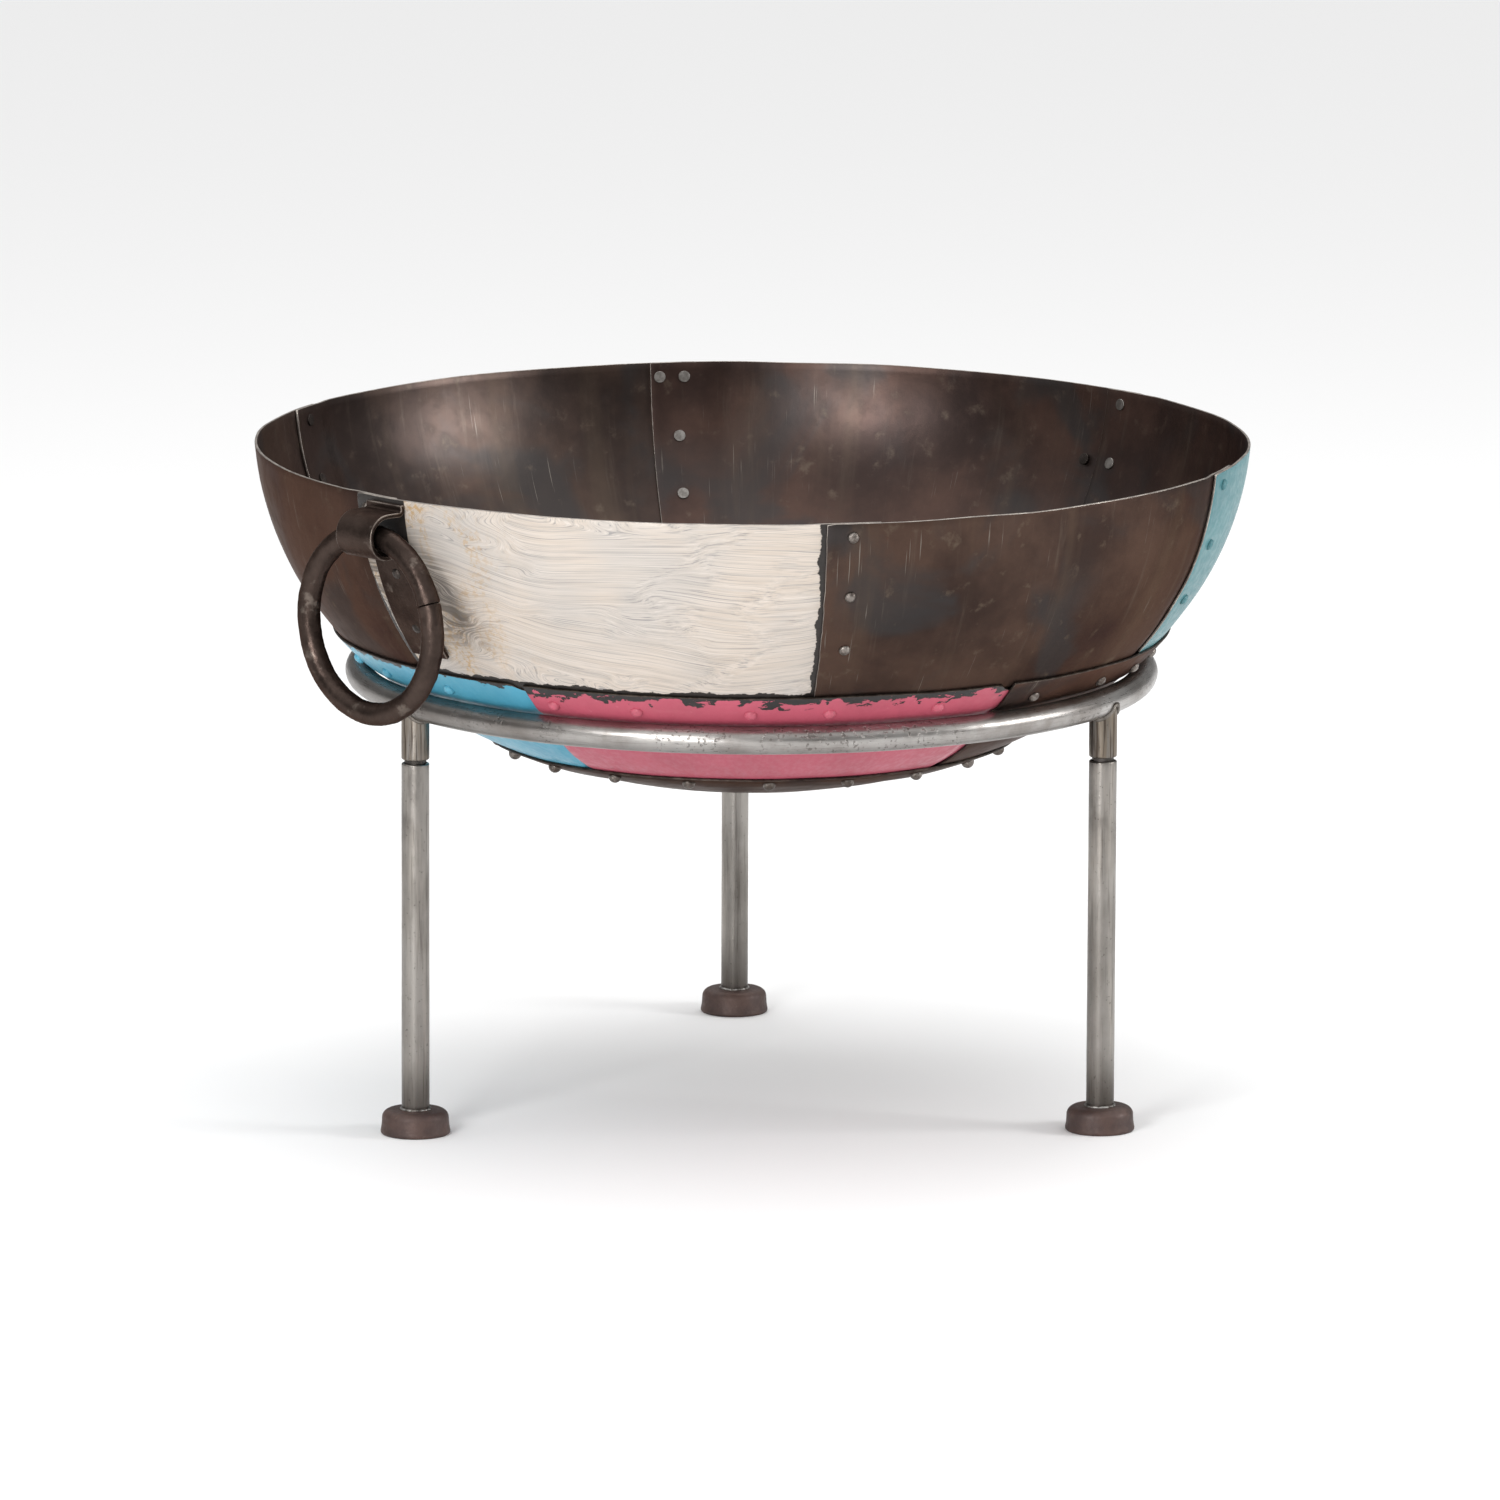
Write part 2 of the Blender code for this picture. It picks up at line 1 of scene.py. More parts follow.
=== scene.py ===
"""The looks of the riveted fire bowl: sheets, rivets, handles, stand, finishes, light and camera."""

import math

import bmesh
import bpy
from mathutils import Matrix, Vector, noise


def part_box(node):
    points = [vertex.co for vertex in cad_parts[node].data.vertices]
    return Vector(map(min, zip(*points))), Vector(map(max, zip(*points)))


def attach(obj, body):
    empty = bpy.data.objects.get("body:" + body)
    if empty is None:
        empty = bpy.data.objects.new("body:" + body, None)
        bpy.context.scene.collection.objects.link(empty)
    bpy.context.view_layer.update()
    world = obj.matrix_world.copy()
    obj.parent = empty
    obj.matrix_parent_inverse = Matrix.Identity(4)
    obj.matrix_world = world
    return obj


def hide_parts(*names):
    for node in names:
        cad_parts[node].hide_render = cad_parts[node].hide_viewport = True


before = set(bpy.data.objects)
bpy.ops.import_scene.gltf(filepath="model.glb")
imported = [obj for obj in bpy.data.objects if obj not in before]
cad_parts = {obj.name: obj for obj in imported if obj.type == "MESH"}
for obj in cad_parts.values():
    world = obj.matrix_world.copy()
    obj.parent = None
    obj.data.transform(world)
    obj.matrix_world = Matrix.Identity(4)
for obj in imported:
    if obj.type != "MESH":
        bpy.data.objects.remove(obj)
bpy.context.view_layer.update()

UP = Vector((0, 0, 1))

# The bowl's skin and seams, in metres and degrees, the same as the CAD's
SKIN_RADIUS, SKIN_DEPTH, SKIN_TOP, SKIN_POWER = 0.4030, 0.3035, 0.5600, 2.1
SHEET = 0.0020
LAYER = 0.0023
RIM_Z, MIDDLE_TOP_Z = 0.5360, 0.3860
PUSH_Z, PUSHED_Z = 0.3850, 0.3780  # where the upper plates step in behind the middle band's laps
UPPER_BOTTOM_Z, MIDDLE_FLAT_Z, DISH_TOP_Z = 0.3650, 0.3560, 0.2975
MIDDLE_BOTTOM_R, DISH_FLAT_R = 0.1890, 0.1750
UPPER_SEAMS = (-53.3, 6.0, 64.5, 123.8, 183.7, 240.7)
MIDDLE_SEAMS = (-34.5, 35.5, 110.0, 172.0, 252.0)
MIDDLE_SLANTS = (-4.5, 7.0, 0.0, 0.0, 0.0)
LAP, RAMP = 6.3, 2.6
SEAM_RIVET_HEIGHTS = (0.5230, 0.4740, 0.4280)
SEAM_RIVET_SHIFT = 3.0  # from the seam
CROWDED_RIVET_SHIFT = 1.45  # where a strap covers the rest of the lap
STRAP_SIDE_SHIFT = 3.8  # where a strap lies beside the row
PAIR_SHIFTS = (2.2, 5.2)  # where two rivets share the top of a seam
STRAP_RIVET_HEIGHTS, STRAP_RIVET_SHIFT = (0.4740, 0.4280), 0.2
MIDDLE_RIVET_Z = 0.3710
MIDDLE_RIVETS = (
    (-31.0, -18.5, -2.5, 8.5, 24.5),
    (41.0, 56.5, 68.0, 80.0, 95.0),
    (114.0, 128.0, 143.0, 158.0),
    (176.0, 190.0, 205.0, 220.0, 235.0),
    (256.0, 269.0, 282.0, 294.0, 310.0),
)
DISH_RIVET_R, DISH_RIVET_COUNT, DISH_RIVET_START = 0.2040, 20, 1.6

# Handles
HANDLE_ANGLES = (-48.05, 131.95)
HINGE_R, HINGE_Z = 0.4195, 0.5070
HANDLE_R, HANDLE_BAR_R, HANDLE_SPLIT = 0.0715, 0.0095, 19.5
STRAP_WIDTH, STRAP_SHEET, STRAP_GAP = 0.0405, 0.0036, 0.0004
STRAP_TOP_Z, STRAP_BOTTOM_Z = 0.5310, 0.4040
EYE_Z, EYE_R, EYE_FILLET = 0.5070, 0.0166, 0.0035

# Stand
RING_R, RING_Z, TUBE_R, TUBE_WALL = 0.3170, 0.3482, 0.0112, 0.0020
LEG_ANGLES = (-60.0, 60.0, 180.0)
STUB_ROUND, LEG_ROUND = 0.0014, 0.0012  # of the tubes' ends
STUB_TOP_Z, RING_SINK = RING_Z - 0.012, 0.0008  # a stub's top is moulded to the ring, and reaches into it
SPIGOT_R, SPIGOT_TIP_R, SPIGOT_CHAMFER = 0.0088, 0.0068, 0.002
FOOT_ROUND = 0.0068
RING_WELD_R, FOOT_WELD_R = 0.0016, 0.0011

# Rivets as drawn: radius and height of each head and tail
SEAM_HEAD, STRAP_HEAD = (0.0046, 0.0030), (0.0046, 0.0026)
BAND_HEAD, DISH_HEAD = (0.0050, 0.0034), (0.0052, 0.0050)
WIDE_TAIL, PLAIN_TAIL = (0.0048, 0.0011), (0.0046, 0.0011)
SHANK_R = 0.0024
CLEARANCE = 0.0003  # between a rivet and the sheets it holds

# Level of detail: steps in degrees around, in radians down the skin, or in counts
UPPER_STEP, MIDDLE_STEP, DISH_STEP = 1.0, 1.2, 1.5
PLATE_ROW_STEP, DISH_ROW_STEP = 0.02, 0.025
RIVET_SIDES, HEAD_RINGS = 20, 6
HANDLE_STEP, HANDLE_SIDES = 1.4, 28
RING_STATIONS, RING_SIDES = 720, 36
TUBE_SIDES, SPIGOT_SIDES = 64, 40
WELD_STATIONS, WELD_SIDES = 44, 12

# Wear
SHEET_EDGE, STRAP_EDGE = 0.00035, 0.0008  # how far an edge is rounded
CORNER_REACH, EDGE_REACH = 0.7, 2.0  # degrees from its first seam where a plate's corner and edge are uneven
RIM_FADE = 8  # how fast the unevenness of a top edge dies out down the plate
DENT_CLUSTERS = 34

# Camera and light
CAMERA_DISTANCE = 11.5
CAMERA_ANGLE, CAMERA_RISE, CAMERA_ROLL = -2.39, 10.65, 0.22
CAMERA_AIM = (-0.0010, 0.2809)  # to the right of the axis, and height
PICTURE_WIDTH = 1.2137  # metres across the picture at the object
SENSOR_WIDTH = 36
SKY_FADE = (0.30, 0.92, 0.22, 1.35)  # two upward parts of a direction, and the sky's brightness at each
LIGHT_AIM_Z = 0.40
FLOOR_SIZE, FLOOR_DROP = 60, 0.0002
SOFT_LIGHTS = (  # name, angle, lift in degrees, distance, width and height, watts
    ("front_left", -31, 20, 3.6, (1.1, 0.8), 52),
    ("right", 78, 16, 3.4, (1.2, 0.8), 52),
    ("low_front", -20, 2, 3.8, (0.3, 0.6), 26),
    ("top", 170, 70, 3.2, (2.4, 1.6), 34),
)

# Paints, as (plain, second, worn pale) linear colours
PINK = ((0.46, 0.085, 0.130), (0.40, 0.075, 0.112), (0.55, 0.18, 0.23))
BLUE = ((0.060, 0.285, 0.41), (0.085, 0.34, 0.46), (0.19, 0.43, 0.53))
TURQUOISE = ((0.045, 0.158, 0.178), (0.060, 0.190, 0.208), (0.14, 0.26, 0.27))


# ---------- the bowl's skin


def theta_at_height(z):
    return math.asin(((SKIN_TOP - z) / SKIN_DEPTH) ** (SKIN_POWER / 2))


def theta_at_radius(r):
    return math.acos((r / SKIN_RADIUS) ** (SKIN_POWER / 2))


def skin(theta, out=0.0):
    """(radius, height) on the skin, moved outwards along its normal."""
    r = SKIN_RADIUS * math.cos(theta) ** (2 / SKIN_POWER)
    depth = SKIN_DEPTH * math.sin(theta) ** (2 / SKIN_POWER)
    slope_r = r ** (SKIN_POWER - 1) / SKIN_RADIUS**SKIN_POWER
    slope_z = depth ** (SKIN_POWER - 1) / SKIN_DEPTH**SKIN_POWER
    length = math.hypot(slope_r, slope_z)
    return r + out * slope_r / length, SKIN_TOP - depth - out * slope_z / length


def outward(angle):
    return Vector((math.sin(math.radians(angle)), -math.cos(math.radians(angle)), 0))


def tangent(angle):
    return Vector((math.cos(math.radians(angle)), math.sin(math.radians(angle)), 0))


def round_point(turn, radius=1.0, z=0.0):
    return Vector((radius * math.cos(turn), radius * math.sin(turn), z))


def swung(one, other, turn):
    """The direction at turn radians from one towards the other."""
    return one * math.cos(turn) + other * math.sin(turn)


def on_skin(angle, theta, out=0.0):
    r, z = skin(theta, out)
    return outward(angle) * r + Vector((0, 0, z))


def skin_frame(angle, theta, out=0.0):
    here = on_skin(angle, theta, out)
    normal = (on_skin(angle, theta, out + 0.01) - here).normalized()
    side = tangent(angle)
    return Matrix.Translation(here) @ Matrix((side, normal.cross(side), normal)).transposed().to_4x4()


def skin_uv(angle, theta):
    """Metres along the rim and metres down from it, for the finishes."""
    return math.radians(angle) * SKIN_RADIUS, SKIN_DEPTH * (theta - theta_at_height(RIM_Z))


def ease(value, start, end):
    """0 before start, 1 after end, and smooth between them. It also works from high to low."""
    share = min(1.0, max(0.0, (value - start) / (end - start)))
    return share * share * (3 - 2 * share)


def turned(angle, start):
    return (angle - start + 180) % 360 - 180


def tucked(angle, seam):
    return ease(turned(angle, seam), -RAMP, 0)


def lapped(angle, seams):
    most = 0.0
    for seam in seams:
        past = turned(angle, seam)
        most = max(most, min(ease(past, -RAMP, 0), ease(past, LAP + RAMP, LAP)))
    return most


def slanted(angle, theta):
    seams = [MIDDLE_SEAMS[-1] - 360, *MIDDLE_SEAMS, MIDDLE_SEAMS[0] + 360]
    slants = [MIDDLE_SLANTS[-1], *MIDDLE_SLANTS, MIDDLE_SLANTS[0]]
    place = seams[0] + (angle - seams[0]) % 360
    for seam, after, slant, slant_after in zip(seams, seams[1:], slants, slants[1:]):
        if seam <= place <= after:
            full = slant + (place - seam) / (after - seam) * (slant_after - slant)
            break
    top, low = theta_at_height(MIDDLE_FLAT_Z), theta_at_height(DISH_TOP_Z)
    return angle + full * min(1.0, max(0.0, (theta - top) / (low - top)))


def beaten(angle, theta):
    """The sheets' shallow dents, the same for every layer so that they stay parallel."""
    point = on_skin(angle, theta)
    wide = noise.noise(point * 9) * 0.0009
    close = noise.noise(point * 26 + Vector((7, 3, 1))) * 0.00035
    return min(-0.0002, wide + close - 0.0006)


def upper_offset(angle, theta, index):
    """How far the upper sheet is stepped in behind the next plate and behind the middle band's laps."""
    behind = tucked(angle, UPPER_SEAMS[(index + 1) % len(UPPER_SEAMS)])
    pushed = lapped(angle, MIDDLE_SEAMS) * ease(theta, theta_at_height(PUSH_Z), theta_at_height(PUSHED_Z))
    return -LAYER * (behind + pushed)


def middle_offset(angle, theta, index):
    over = ease(theta, theta_at_height(MIDDLE_FLAT_Z), theta_at_height(UPPER_BOTTOM_Z))
    return LAYER * (over - tucked(angle, MIDDLE_SEAMS[(index + 1) % len(MIDDLE_SEAMS)]))


def dish_offset(theta):
    return LAYER * ease(theta, theta_at_radius(DISH_FLAT_R), theta_at_radius(MIDDLE_BOTTOM_R))


# ---------- mesh helpers


def into_scene(name, data):
    obj = bpy.data.objects.new(name, data)
    bpy.context.scene.collection.objects.link(obj)
    return obj


def add_object(name, verts, faces, uvs, body, stands_for):
    """A smooth mesh piece that rides on a CAD body. uvs holds one pair for each vertex."""
    mesh = bpy.data.meshes.new(name)
    mesh.from_pydata(verts, [], faces)
    if uvs:
        layer = mesh.uv_layers.new(name="skin")
        for loop in mesh.loops:
            layer.data[loop.index].uv = uvs[loop.vertex_index]
    mesh.shade_smooth()
    obj = into_scene(name, mesh)
    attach(obj, body)
    if stands_for:
        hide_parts(*stands_for)
    return obj


def grid_faces(rows, columns, wrap_rows=False, wrap_columns=False):
    """Quads between the points of a grid, numbered row by row."""
    faces = []
    for i in range(rows if wrap_rows else rows - 1):
        for j in range(columns if wrap_columns else columns - 1):
            below, beside = (i + 1) % rows, (j + 1) % columns
            here, under = i * columns, below * columns
            faces.append((here + j, here + beside, under + beside, under + j))
    return faces


def merge_points(obj, fill_middle=False):
    """Joins points that coincide, and closes the small hole on the axis."""
    bm = bmesh.new()
    bm.from_mesh(obj.data)
    bmesh.ops.remove_doubles(bm, verts=bm.verts, dist=1e-6)
    if fill_middle:
        inner = [edge for edge in bm.edges if edge.is_boundary and edge.verts[0].co.xy.length < 0.01]
        bmesh.ops.contextual_create(bm, geom=inner)
    bm.to_mesh(obj.data)
    bm.free()


def thicken(obj, thickness, offset):
    solid = obj.modifiers.new("thickness", "SOLIDIFY")
    solid.thickness = thickness
    solid.offset = offset
    return solid


def wear_edges(obj, width, segments, material):
    bevel = obj.modifiers.new("worn_edges", "BEVEL")
    bevel.width = width
    bevel.segments = segments
    bevel.limit_method = "ANGLE"
    bevel.angle_limit = math.radians(50)
    bevel.material = material


def paint(obj, *materials):
    for material in materials:
        obj.data.materials.append(material)


def sharpen(obj, degrees):
    obj.data.set_sharp_from_angle(angle=math.radians(degrees))


def spread(start, end, step):
    """Even values from start to end, about step apart."""
    count = max(2, round(abs(end - start) / step) + 1)
    return [start + (end - start) * i / (count - 1) for i in range(count)]


# ---------- sheets


def sheet(name, angles, thetas, place, materials):
    """A plate: an outer surface given its thickness inwards. materials are for outside, inside and edges."""
    verts, uvs = [], []
    for theta in thetas:
        for angle in angles:
            point, uv = place(angle, theta)
            verts.append(point)
            uvs.append(uv)
    faces = [face[::-1] for face in grid_faces(len(thetas), len(angles))]
    obj = add_object(name + "_sheet", verts, faces, uvs, "bowl", (name,))
    solid = thicken(obj, SHEET, -1)
    solid.material_offset = 1
    solid.material_offset_rim = 2
    wear_edges(obj, SHEET_EDGE, 2, 2)
    paint(obj, *materials)
    return obj


def uneven_edge(value, seed, past):
    """Degrees by which a plate's cut edge wanders, and less of it past the edge."""
    wide = noise.noise(Vector((value * 30, seed * 5.1, 0.3))) * 0.10
    wander = wide + noise.noise(Vector((value * 110, seed, 2))) * 0.05
    return max(0.0, 1 - past / EDGE_REACH) * wander


def plate_span(seams, index):
    """Where a plate starts, and where its lap behind the next one ends."""
    last = index == len(seams) - 1
    return seams[index], seams[(index + 1) % len(seams)] + LAP + (360 if last else 0)


def upper_plate(index, materials):
    start, end = plate_span(UPPER_SEAMS, index)
    top, low = theta_at_height(RIM_Z), theta_at_height(UPPER_BOTTOM_Z)

    def place(angle, theta):
        share = (theta - top) / (low - top)
        corner = max(0.0, 1 - (angle - start) / CORNER_REACH)
        wave = 0.0011 + noise.noise(outward(angle) * 4.7) * 0.0011 + 0.0008 * corner**2
        theta_here = theta + wave * (1 - share) ** RIM_FADE / SKIN_DEPTH
        edge = uneven_edge(share, index + 1, angle - start)
        out = upper_offset(angle, theta, index) + beaten(angle, theta)
        return on_skin(angle + edge, theta_here, out), skin_uv(angle, theta_here)

    angles, thetas = spread(start, end, UPPER_STEP), spread(top, low, PLATE_ROW_STEP)
    sheet(f"upper_plate_{index + 1}", angles, thetas, place, materials)


def middle_plate(index, materials):
    start, end = plate_span(MIDDLE_SEAMS, index)
    top, low = theta_at_height(MIDDLE_TOP_Z), theta_at_radius(MIDDLE_BOTTOM_R)

    def place(angle, theta):
        share = (theta - top) / (low - top)
        hidden = tucked(angle, end - LAP) if angle > start + 2 * LAP else 0.0
        wave = noise.noise(outward(angle) * 6.3) * 0.0012 + hidden * 0.0090
        theta_here = theta + wave * (1 - share) ** RIM_FADE / SKIN_DEPTH
        edge = uneven_edge(share, index + 11, angle - start)
        out = middle_offset(angle, theta, index) + beaten(angle, theta)
        turned_angle = slanted(angle, theta) + edge
        return on_skin(turned_angle, theta_here, out), skin_uv(turned_angle, theta_here)

    angles, thetas = spread(start, end, MIDDLE_STEP), spread(top, low, PLATE_ROW_STEP)
    sheet(f"middle_plate_{index + 1}", angles, thetas, place, materials)


def bottom_dish(materials):
    """One sheet all the way round, so its first and last columns and its middle are merged."""
    top, low = theta_at_height(DISH_TOP_Z), theta_at_radius(0.004)

    def place(angle, theta):
        share = (theta - top) / (low - top)
        wave = noise.noise(outward(angle) * 3.1) * 0.0012 * (1 - share) ** RIM_FADE
        out = dish_offset(theta) + beaten(angle, theta)
        return on_skin(angle, theta - wave / SKIN_DEPTH, out), skin_uv(angle, theta)

    angles, thetas = spread(0, 360, DISH_STEP), spread(top, low, DISH_ROW_STEP)
    obj = sheet("bottom_dish", angles, thetas, place, materials)
    merge_points(obj, fill_middle=True)


# ---------- rivets


def turned_rings(profile, place, around, seed, rough):
    """Points and faces of a turned shape, a little out of round. Its profile starts and ends on the axis."""
    verts = [place @ Vector((0, 0, profile[0][1]))]
    for r, z in profile[1:-1]:
        for j in range(around):
            turn = math.tau * j / around
            spot = round_point(turn, 1, z * 200 + seed)
            here = r * (1 + rough * noise.noise(spot * 1.7))
            verts.append(place @ round_point(turn, here, z))
    verts.append(place @ Vector((0, 0, profile[-1][1])))
    rows = len(profile) - 2
    last = len(verts) - 1
    faces = [(0, 1 + j, 1 + (j + 1) % around) for j in range(around)]
    faces += [tuple(1 + v for v in face[::-1]) for face in grid_faces(rows, around, wrap_columns=True)]
    start = 1 + (rows - 1) * around
    faces += [(last, start + (j + 1) % around, start + j) for j in range(around)]
    return verts, faces


def rivet_profile(head, grip, tail):
    """(radius, height) down a rivet's outside, from the top of its head to the face of its tail."""
    head_radius, head_height = head
    tail_radius, tail_height = tail
    turns = [math.radians(90 * i / HEAD_RINGS) for i in range(HEAD_RINGS, -1, -1)]
    return [
        *((head_radius * math.cos(turn), head_height * math.sin(turn)) for turn in turns),
        (head_radius * 0.985, -0.0002),
        (SHANK_R, -CLEARANCE),
        (SHANK_R, -grip + CLEARANCE),
        (tail_radius, -grip + 0.0002),
        (tail_radius, -grip - tail_height * 0.8),
        (tail_radius * 0.95, -grip - tail_height),
        (0, -grip - tail_height),
    ]


def rivet(name, places, profile, materials, node=None):
    """One piece made of a rivet at each place. The head takes the first material, the tail the second."""
    verts, faces, tails = [], [], []
    first_tail = 1 + RIVET_SIDES * (len(profile) - 6)
    for number, place in enumerate(places):
        more, rings = turned_rings(profile, place, RIVET_SIDES, number * 3.7 + len(name), 0.06)
        base = len(verts)
        verts += more
        for face in rings:
            faces.append(tuple(base + v for v in face))
            tails.append(min(face) >= first_tail)
    obj = add_object(name, verts, faces, None, "bowl", (node,) if node else ())
    paint(obj, *materials)
    for polygon, is_tail in zip(obj.data.polygons, tails):
        polygon.material_index = int(is_tail)
    sharpen(obj, 32)


def seam_rivet_places(index):
    seam = UPPER_SEAMS[index]
    if index == 0:
        return [(seam + CROWDED_RIVET_SHIFT, SEAM_RIVET_HEIGHTS[0])]
    if index == 3:
        return [(seam + STRAP_SIDE_SHIFT, z) for z in SEAM_RIVET_HEIGHTS]
    rivets = [(seam + SEAM_RIVET_SHIFT, z) for z in SEAM_RIVET_HEIGHTS]
    if index == 4:
        rivets.append((seam + PAIR_SHIFTS[1], SEAM_RIVET_HEIGHTS[0]))
        rivets[0] = (seam + PAIR_SHIFTS[0], SEAM_RIVET_HEIGHTS[0])
    return rivets


def rivet_place(angle, theta, out):
    return skin_frame(angle, theta, out + beaten(angle, theta) + 0.0001)


def all_rivets(mats):
    grip = SHEET + LAYER + CLEARANCE
    strap_grip = SHEET + LAYER + STRAP_SHEET + STRAP_GAP + CLEARANCE
    seam_profile = rivet_profile(SEAM_HEAD, grip, WIDE_TAIL)
    strap_profile = rivet_profile(STRAP_HEAD, strap_grip, WIDE_TAIL)
    for index in range(len(UPPER_SEAMS)):
        head, tail = "turquoise_head" if index == 2 else "rivet", "iron" if index == 5 else "disc"
        for number, (angle, z) in enumerate(seam_rivet_places(index)):
            name = f"seam_{index + 1}_rivet_{number + 1}"
            place = rivet_place(angle, theta_at_height(z), 0)
            rivet(name + "_forged", [place], seam_profile, (mats[head], mats[tail]), name)
    for index, handle in enumerate(HANDLE_ANGLES):
        for number, z in enumerate(STRAP_RIVET_HEIGHTS):
            name = f"strap_{index + 1}_rivet_{number + 1}"
            place = rivet_place(handle + STRAP_RIVET_SHIFT, theta_at_height(z), STRAP_GAP + STRAP_SHEET)
            rivet(name + "_forged", [place], strap_profile, (mats["iron"], mats["iron"]), name)
    band_profile = rivet_profile(BAND_HEAD, grip, PLAIN_TAIL)
    theta = theta_at_height(MIDDLE_RIVET_Z)
    heads = (mats["pink_head"], mats["rivet"], mats["rivet"], mats["rivet"], mats["blue_head"])
    for index, angles in enumerate(MIDDLE_RIVETS):
        places = [rivet_place(angle, theta, LAYER) for angle in angles]
        rivet(f"middle_plate_{index + 1}_rivets", places, band_profile, (heads[index], mats["disc"]))
    dish_profile = rivet_profile(DISH_HEAD, grip, PLAIN_TAIL)
    theta = theta_at_radius(DISH_RIVET_R)
    angles = [DISH_RIVET_START + 360 * i / DISH_RIVET_COUNT for i in range(DISH_RIVET_COUNT)]
    places = [rivet_place(angle, theta, LAYER) for angle in angles]
    rivet("bottom_dish_rivets", places, dish_profile, (mats["rivet"], mats["disc"]))


# ---------- handles


def arc(centre, radius, start, end, steps):
    points = []
    for i in range(steps + 1):
        angle = math.radians(start + (end - start) * i / steps)
        points.append((centre[0] + radius * math.cos(angle), centre[1] + radius * math.sin(angle)))
    return points


def strap_path():
    """(distance from the axis, height) along the middle of the strap, from its top end to its bottom end."""
    out = STRAP_GAP + STRAP_SHEET / 2
    top = EYE_Z + EYE_R
    low = EYE_Z - EYE_R
    wall_top = skin(theta_at_height(top + EYE_FILLET), out)[0]
    wall_low = skin(theta_at_height(low - EYE_FILLET), out)[0]
    path = [skin(theta_at_height(z), out) for z in spread(STRAP_TOP_Z, top + EYE_FILLET + 0.001, 0.002)]
    path += arc((wall_top + EYE_FILLET, top + EYE_FILLET), EYE_FILLET, 180, 270, 5)
    path += arc((HINGE_R, EYE_Z), EYE_R, 90, -90, 26)
    path += arc((wall_low + EYE_FILLET, low - EYE_FILLET), EYE_FILLET, 90, 180, 5)
    path += [skin(theta_at_height(z), out) for z in spread(low - EYE_FILLET - 0.003, STRAP_BOTTOM_Z, 0.004)]
    return path


def strap(index, material, edge_material):
    angle = HANDLE_ANGLES[index]
    path = strap_path()
    across = spread(-STRAP_WIDTH / 2, STRAP_WIDTH / 2, 0.0025)
    verts, uvs = [], []
    length = 0.0
    for step, (r, z) in enumerate(path):
        if step:
            length += math.dist(path[step - 1], path[step])
        for side in across:
            rough = noise.noise(Vector((side * 60, length * 60, index * 9))) * 0.0004
            flare = 1 + 0.03 * noise.noise(Vector((length * 35, math.copysign(3, side), index)))
            verts.append(outward(angle) * (r + rough) + tangent(angle) * side * flare + Vector((0, 0, z)))
            uvs.append((side, length))
    faces = [face[::-1] for face in grid_faces(len(path), len(across))]
    name = f"handle_strap_{index + 1}"
    obj = add_object(name + "_forged", verts, faces, uvs, "bowl", (name,))
    thicken(obj, STRAP_SHEET, 0)
    wear_edges(obj, STRAP_EDGE, 3, 1)
    paint(obj, material, edge_material)


def handle_ring(index, material):
    """A forged rod bent round until its ends meet in a groove, a little swollen there and worn round."""
    angle = HANDLE_ANGLES[index]
    side = tangent(angle)
    centre = outward(angle) * HINGE_R + UP * (HINGE_Z - HANDLE_R)
    gap = math.degrees(0.0004 / HANDLE_R)
    stations = spread(HANDLE_SPLIT + gap, HANDLE_SPLIT + 360 - gap, HANDLE_STEP)
    verts, uvs = [], []
    ends = ((0.02, 0.84), (0.02, 0.92), (0.20, 0.98))
    rows = [(stations[0] + more, size) for more, size in ends] + [(s, 1.0) for s in stations[1:-1]]
    rows += [(stations[-1] - more, size) for more, size in reversed(ends)]
    for station, size in rows:
        turn = math.radians(station)
        axis_out = swung(side, UP, turn)
        from_end = min(station - stations[0], stations[-1] - station)
        swell = 1 + 0.05 * math.exp(-from_end / 4)
        for j in range(HANDLE_SIDES):
            roll = math.tau * j / HANDLE_SIDES
            spot = Vector((math.cos(roll) * 0.9, math.sin(roll) * 0.9, station / 9 + index * 40))
            beat = 0.96 + 0.045 * noise.noise(spot) + 0.03 * noise.noise(spot * 3.1)
            beat += 0.012 * noise.noise(spot * 9)
            radius = HANDLE_BAR_R * beat * swell * size
            offset = swung(axis_out, outward(angle), roll)
            verts.append(centre + axis_out * HANDLE_R + offset * radius)
            uvs.append((math.radians(station) * HANDLE_R, roll * HANDLE_BAR_R))
    faces = grid_faces(len(rows), HANDLE_SIDES, wrap_columns=True)
    faces.append(tuple(range(HANDLE_SIDES)))
    faces.append(tuple((len(rows) - 1) * HANDLE_SIDES + j for j in reversed(range(HANDLE_SIDES))))
    name = f"handle_ring_{index + 1}"
    obj = add_object(name + "_forged", verts, faces, uvs, f"handle_{index + 1}", (name,))
    paint(obj, material)
    sharpen(obj, 50)


# ---------- stand


def dents():
    """(angle, roll, size, depth) of small dents on the stand ring, in clusters on its outer side."""
    marks = []
    for cluster in range(DENT_CLUSTERS):
        middle = -180 + 360 * cluster / DENT_CLUSTERS + 5 * noise.noise(Vector((cluster * 1.7, 0.5, 0)))
        count = 2 + int(abs(noise.noise(Vector((cluster * 2.9, 1.5, 0)))) * 12)
        for number in range(count):
            spot = Vector((cluster * 3.3, number * 1.9, 4.5))
            shift = noise.noise_vector(spot)
            size, depth = 0.0016 + abs(shift.z) * 0.0018, 0.0002 + abs(shift.x) * 0.0004
            marks.append((middle + shift.x * 6, -25 + shift.y * 45, size, depth))
    return marks


